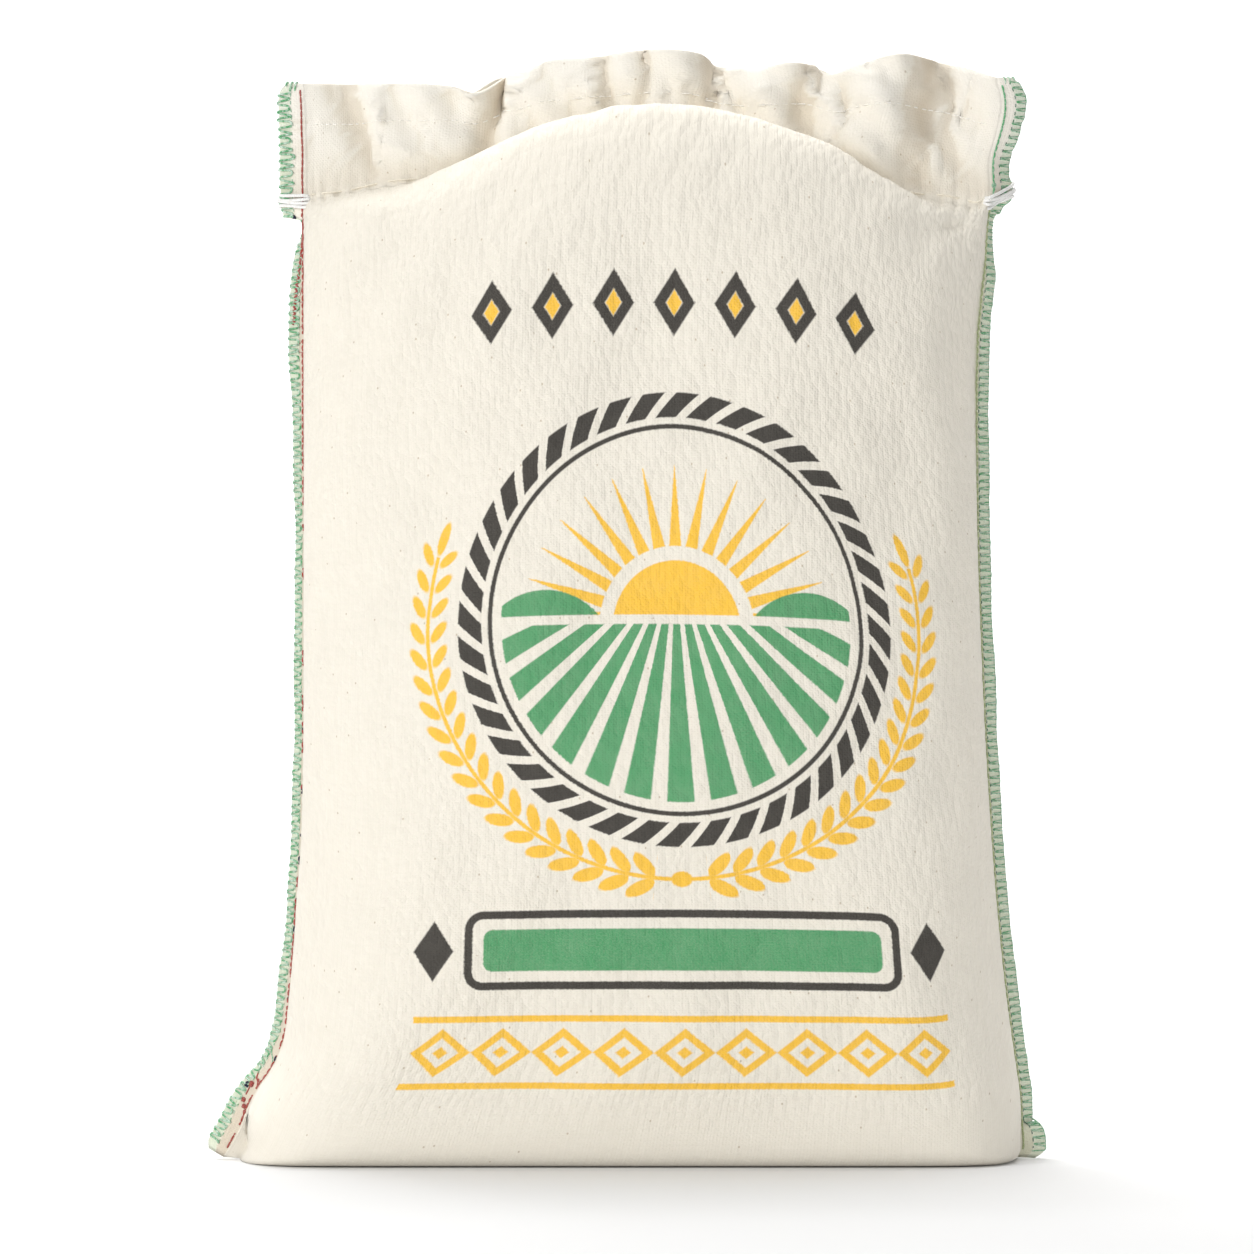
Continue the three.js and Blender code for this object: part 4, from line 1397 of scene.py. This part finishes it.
class SACK_OT_overlock(bpy.types.Operator):
    """Make the overlock threads round both raw edges"""

    bl_idname = "sack.overlock"
    bl_label = "Overlock"

    def execute(self, context):
        form, colours = form_and_colours(context)
        for side, name, bleached in ((-1, "left", 0.55), (1, "right", 0.5)):
            pale = lighter(colours.overlock, bleached)
            material = thread_material("Overlock thread " + name, colours.overlock, pale, colours.needle)
            surface = Surface()
            for facing in (1, -1):
                path = overlock_path(form, side, facing, 7 + side + facing)
                add_tube(surface, *path, overlock_radius(form, side))
            add_tube(surface, *overlock_tail(form, side), overlock_radius(form, side))
            if side > 0:
                add_tube(surface, *edge_path(form, 5))
            add_tube(surface, *needle_path(form, side), 0.75 * form.s.thread_radius, 0.55 * (side > 0))
            for level, distance, size in EDGING_KNOTS[side]:
                knot = knot_path(form, side, level, distance, size * MM)
                add_tube(surface, *knot, LOOSE_RADIUS, float(side < 0), closed=True)
            if side < 0:
                add_tube(surface, *strand_path(form, 0.097, 0.111, 0.14, 0.56), LOOSE_RADIUS)
            surface.object("overlock_" + name, material, "green_thread", ["edging_" + name])
        return {"FINISHED"}


class SACK_OT_side_stitches(bpy.types.Operator):
    """Make the stitching that joins the two sheets along both sides"""

    bl_idname = "sack.side_stitches"
    bl_label = "Side stitches"

    def execute(self, context):
        form, colours = form_and_colours(context)
        red, green = colours.left_stitch, colours.overlock
        looks = [
            (-1, "left", "red_thread", ("Red thread", red, lighter(red, 0.12), colours.needle)),
            (1, "right", "green_thread", ("Green thread", green, lighter(green, 0.2), colours.faded_stitch)),
        ]
        for side, name, slot, look in looks:
            material = thread_material(*look)
            surface = Surface()
            for facing in (1, -1):
                add_tube(surface, *side_stitch_path(form, side, facing))
            if side < 0:
                add_tube(surface, *braid_path(form))
                for low, high in HIGH_STRANDS:
                    add_tube(surface, *strand_path(form, low, high), FINE_RADIUS)
                for low, high, start, end in LOW_STRANDS:
                    add_tube(surface, *strand_path(form, low, high, start, end), STRAND_RADIUS)
                for level, distance, size in LEFT_KNOTS:
                    knot = knot_path(form, side, level, distance, size * MM)
                    add_tube(surface, *knot, KNOT_RADIUS, closed=True)
            surface.object("chain_" + name, material, slot, ["side_stitch_" + name])
        return {"FINISHED"}


class SACK_OT_closing_string(bpy.types.Operator):
    """Make the string that gathers the neck and is wound round both side seams"""

    bl_idname = "sack.closing_string"
    bl_label = "Closing string"

    def execute(self, context):
        form, colours = form_and_colours(context)
        surface = Surface()
        for facing in (1, -1):
            add_running_string(surface, form, facing)
        for side in (-1, 1):
            add_windings(surface, form, side)
        material = thread_material("String", colours.string, lighter(colours.string, 0.4), colours.cotton)
        surface.object("string", material, "white_thread", ["closing_string"])
        return {"FINISHED"}


def add_running_string(surface, form, facing):
    """The string in and out of the neck: its offset from the cloth swings at the gathers' pitch."""
    u = np.linspace(-0.985, 0.985, 900)
    level = 1.045 + 0.012 * np.sin(u * 23)
    x, _ = form.flat_place(u, 1.0)
    swing = np.sin(np.pi * x / form.s.gather_pitch + (0 if facing > 0 else np.pi / 2))
    radius = 0.6 * form.s.string_radius
    offset = form.sheet_offset(u, level) + radius * (0.1 + 1.2 * swing)
    path = form.collar_point(u, level, facing * offset) + form.shift
    add_tube(surface, path, NEARLY_UP, radius, 1.0)


def add_windings(surface, form, side):
    """Turns of string round the side seam at the neck: flattened rings side by side, which climb towards
    the raw edge on the right. Heights are from the ends of the closing seam, in millimetres."""
    angle = np.linspace(0, 2 * np.pi, 48, endpoint=False)
    radius = form.s.string_radius
    for i, (rise, reach, tilt) in enumerate(WINDING_TURNS):
        out = form.s.allowance / 2 - 0.4 * MM + (form.s.allowance / 2 + radius + reach * MM) * np.cos(angle)
        flat = np.sign(np.sin(angle)) * np.abs(np.sin(angle)) ** 0.6
        wall = (form.s.allowance_thickness / 2 + radius * (1.1 + 0.25 * i)) * flat
        climb = (WINDING_CLIMB[side] + tilt) * (1 + np.cos(angle)) / 2
        height = WINDING_LOW[side] + rise + climb + 0.3 * np.sin(2 * angle + i)
        whole = np.where(height > 0, form.s.collar_height, form.s.filled_height) / MM
        at = 1 + height / whole
        path = form.thread_point(side, at, out, wall)
        _, outward, face = form.seam_axes(side, at)
        add_tube(surface, path, np.cross(outward, face), radius, closed=True)


class SACK_OT_hem_stitches(bpy.types.Operator):
    """Make the hem's stitching on both faces of the collar"""

    bl_idname = "sack.hem_stitches"
    bl_label = "Hem stitches"

    def execute(self, context):
        form, colours = form_and_colours(context)
        material = thread_material("Hem thread", lighter(colours.cotton, 0.3), lighter(colours.cotton, 0.6))
        level = 2 - form.s.hem_depth / form.s.collar_height
        u = np.linspace(-0.97, 0.97, 1400)
        x, _ = form.flat_place(u, 1.0)
        radius = form.s.thread_radius * 0.9
        swing = np.abs(np.cos(np.pi * x / form.s.hem_pitch)) ** 2
        for facing, name in ((1, "front"), (-1, "back")):
            surface = Surface()
            offset = form.sheet_offset(u, level + 0 * u) + radius * (0.4 - 2.6 * swing)
            path = form.collar_point(u, level + 0.004 * np.sin(u * 31), facing * offset) + form.shift
            add_tube(surface, path, NEARLY_UP, radius)
            surface.object("hem_" + name, material, "white_thread", ["hem_stitch_" + name])
        return {"FINISHED"}


class SACK_OT_stage(bpy.types.Operator):
    """Make the pale sweep, the soft lights and the camera"""

    bl_idname = "sack.stage"
    bl_label = "Stage"

    def execute(self, context):
        add_sweep()
        add_lights()
        add_camera()
        return {"FINISHED"}


# Where the sweep's floor ends, the radius of its bend and the top of its back, in metres
SWEEP_FLAT, SWEEP_BEND, SWEEP_TOP = 1.6, 0.9, 4.0


def add_sweep():
    """Floor and backdrop in one sheet: flat, a quarter circle, then upright."""
    turn = np.linspace(0, np.pi / 2, 24)
    bend_y, bend_z = SWEEP_FLAT + SWEEP_BEND * np.sin(turn), SWEEP_BEND - SWEEP_BEND * np.cos(turn)
    y = np.concatenate([[-4.0, -1.0, 0.0, 1.0], bend_y, bend_y[-1:]])
    z = np.concatenate([[0.0, 0.0, 0.0, 0.0], bend_z, [SWEEP_TOP]])
    x = np.linspace(-5, 5, 3)
    points = stack(x[None, :], y[:, None], z[:, None])
    index = np.arange(points.shape[0] * 3).reshape(-1, 3)
    quads = np.stack([index[:-1, :-1], index[:-1, 1:], index[1:, 1:], index[1:, :-1]], -1).reshape(-1, 4)
    mesh = bpy.data.meshes.new("sweep")
    mesh.from_pydata(points.reshape(-1, 3), [], quads.tolist())
    mesh.shade_smooth()
    maker = Maker("Pale sweep")
    mesh.materials.append(maker.finish((0.8, 0.8, 0.8, 1.0), 0.9))
    sweep = bpy.data.objects.new("sweep", mesh)
    bpy.context.scene.collection.objects.link(sweep)


# Lamps: name, place and target in metres, side in metres, power in watts
LIGHTS = [
    ("key", (-2.2, -1.9, 1.3), (0.0, 0.0, 0.24), 1.2, 44.5),
    ("front", (-0.3, -3.2, 0.9), (0.0, 0.0, 0.2), 1.6, 24.0),
    ("fill", (2.4, -2.0, 0.9), (0.0, 0.0, 0.25), 1.8, 12.5),
    ("back", (-0.3, 1.2, 2.0), (0.0, 0.0, 0.2), 1.0, 16.5),
    ("backdrop", (0.0, 0.9, 2.6), (0.0, 2.4, 0.8), 2.4, 94.0),
]
SKY_STRENGTH = 0.21
CAMERA_PLACE = (0.0, -3.0, 0.240)
LENS, SENSOR = 191.0, 36.0  # mm


def add_lights():
    """A large key light high on the left, weaker ones in front, on the right and behind, one for the
    backdrop, and a white sky."""
    for name, place, target, size, power in LIGHTS:
        light = bpy.data.lights.new(name, "AREA")
        light.size, light.energy = size, power
        lamp = bpy.data.objects.new(name, light)
        lamp.location = place
        aim(lamp, place, target)
        bpy.context.scene.collection.objects.link(lamp)
    world = bpy.data.worlds.new("Studio")
    world.use_nodes = True
    sky = world.node_tree.nodes["Background"]
    sky.inputs["Color"].default_value = (1.0, 1.0, 1.0, 1.0)
    sky.inputs["Strength"].default_value = SKY_STRENGTH
    bpy.context.scene.world = world


def aim(thing, place, target):
    """Turns an object so that it looks along -Z from its place to a target."""
    away = np.array(place) - np.array(target)
    flat = np.hypot(away[0], away[1])
    thing.rotation_euler = (np.arctan2(flat, away[2]), 0.0, np.arctan2(away[0], -away[1]))


def add_camera():
    """A long lens straight in front, at half the sack's height."""
    camera = bpy.data.cameras.new("Camera")
    camera.lens, camera.sensor_width = LENS, SENSOR
    view = bpy.data.objects.new("Camera", camera)
    view.location = CAMERA_PLACE
    view.rotation_euler = (np.pi / 2, 0.0, 0.0)
    bpy.context.scene.collection.objects.link(view)
    bpy.context.scene.camera = view
    bpy.context.scene.view_settings.view_transform = "Standard"


class SACK_PT_panel(bpy.types.Panel):
    """The sack's pieces and sizes"""

    bl_idname = "SACK_PT_panel"
    bl_label = "Sack"
    bl_space_type = "VIEW_3D"
    bl_region_type = "UI"
    bl_category = "Sack"

    def draw(self, context):
        for operator in OPERATORS:
            self.layout.operator(operator.bl_idname)
        for group in (context.scene.sack_sizes, context.scene.sack_colours):
            for key in group.__annotations__:
                self.layout.prop(group, key)


OPERATORS = (
    SACK_OT_cloth,
    SACK_OT_overlock,
    SACK_OT_side_stitches,
    SACK_OT_closing_string,
    SACK_OT_hem_stitches,
    SACK_OT_stage,
)
CLASSES = (SackSizes, SackColours, *OPERATORS, SACK_PT_panel)


def register():
    for item in CLASSES:
        bpy.utils.register_class(item)
    bpy.types.Scene.sack_sizes = bpy.props.PointerProperty(type=SackSizes)
    bpy.types.Scene.sack_colours = bpy.props.PointerProperty(type=SackColours)


def unregister():
    del bpy.types.Scene.sack_sizes
    del bpy.types.Scene.sack_colours
    for item in reversed(CLASSES):
        bpy.utils.unregister_class(item)


def main():
    register()
    bpy.ops.sack.cloth()
    bpy.ops.sack.overlock()
    bpy.ops.sack.side_stitches()
    bpy.ops.sack.closing_string()
    bpy.ops.sack.hem_stitches()
    bpy.ops.sack.stage()
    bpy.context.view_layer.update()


if __name__ == "__main__":
    main()
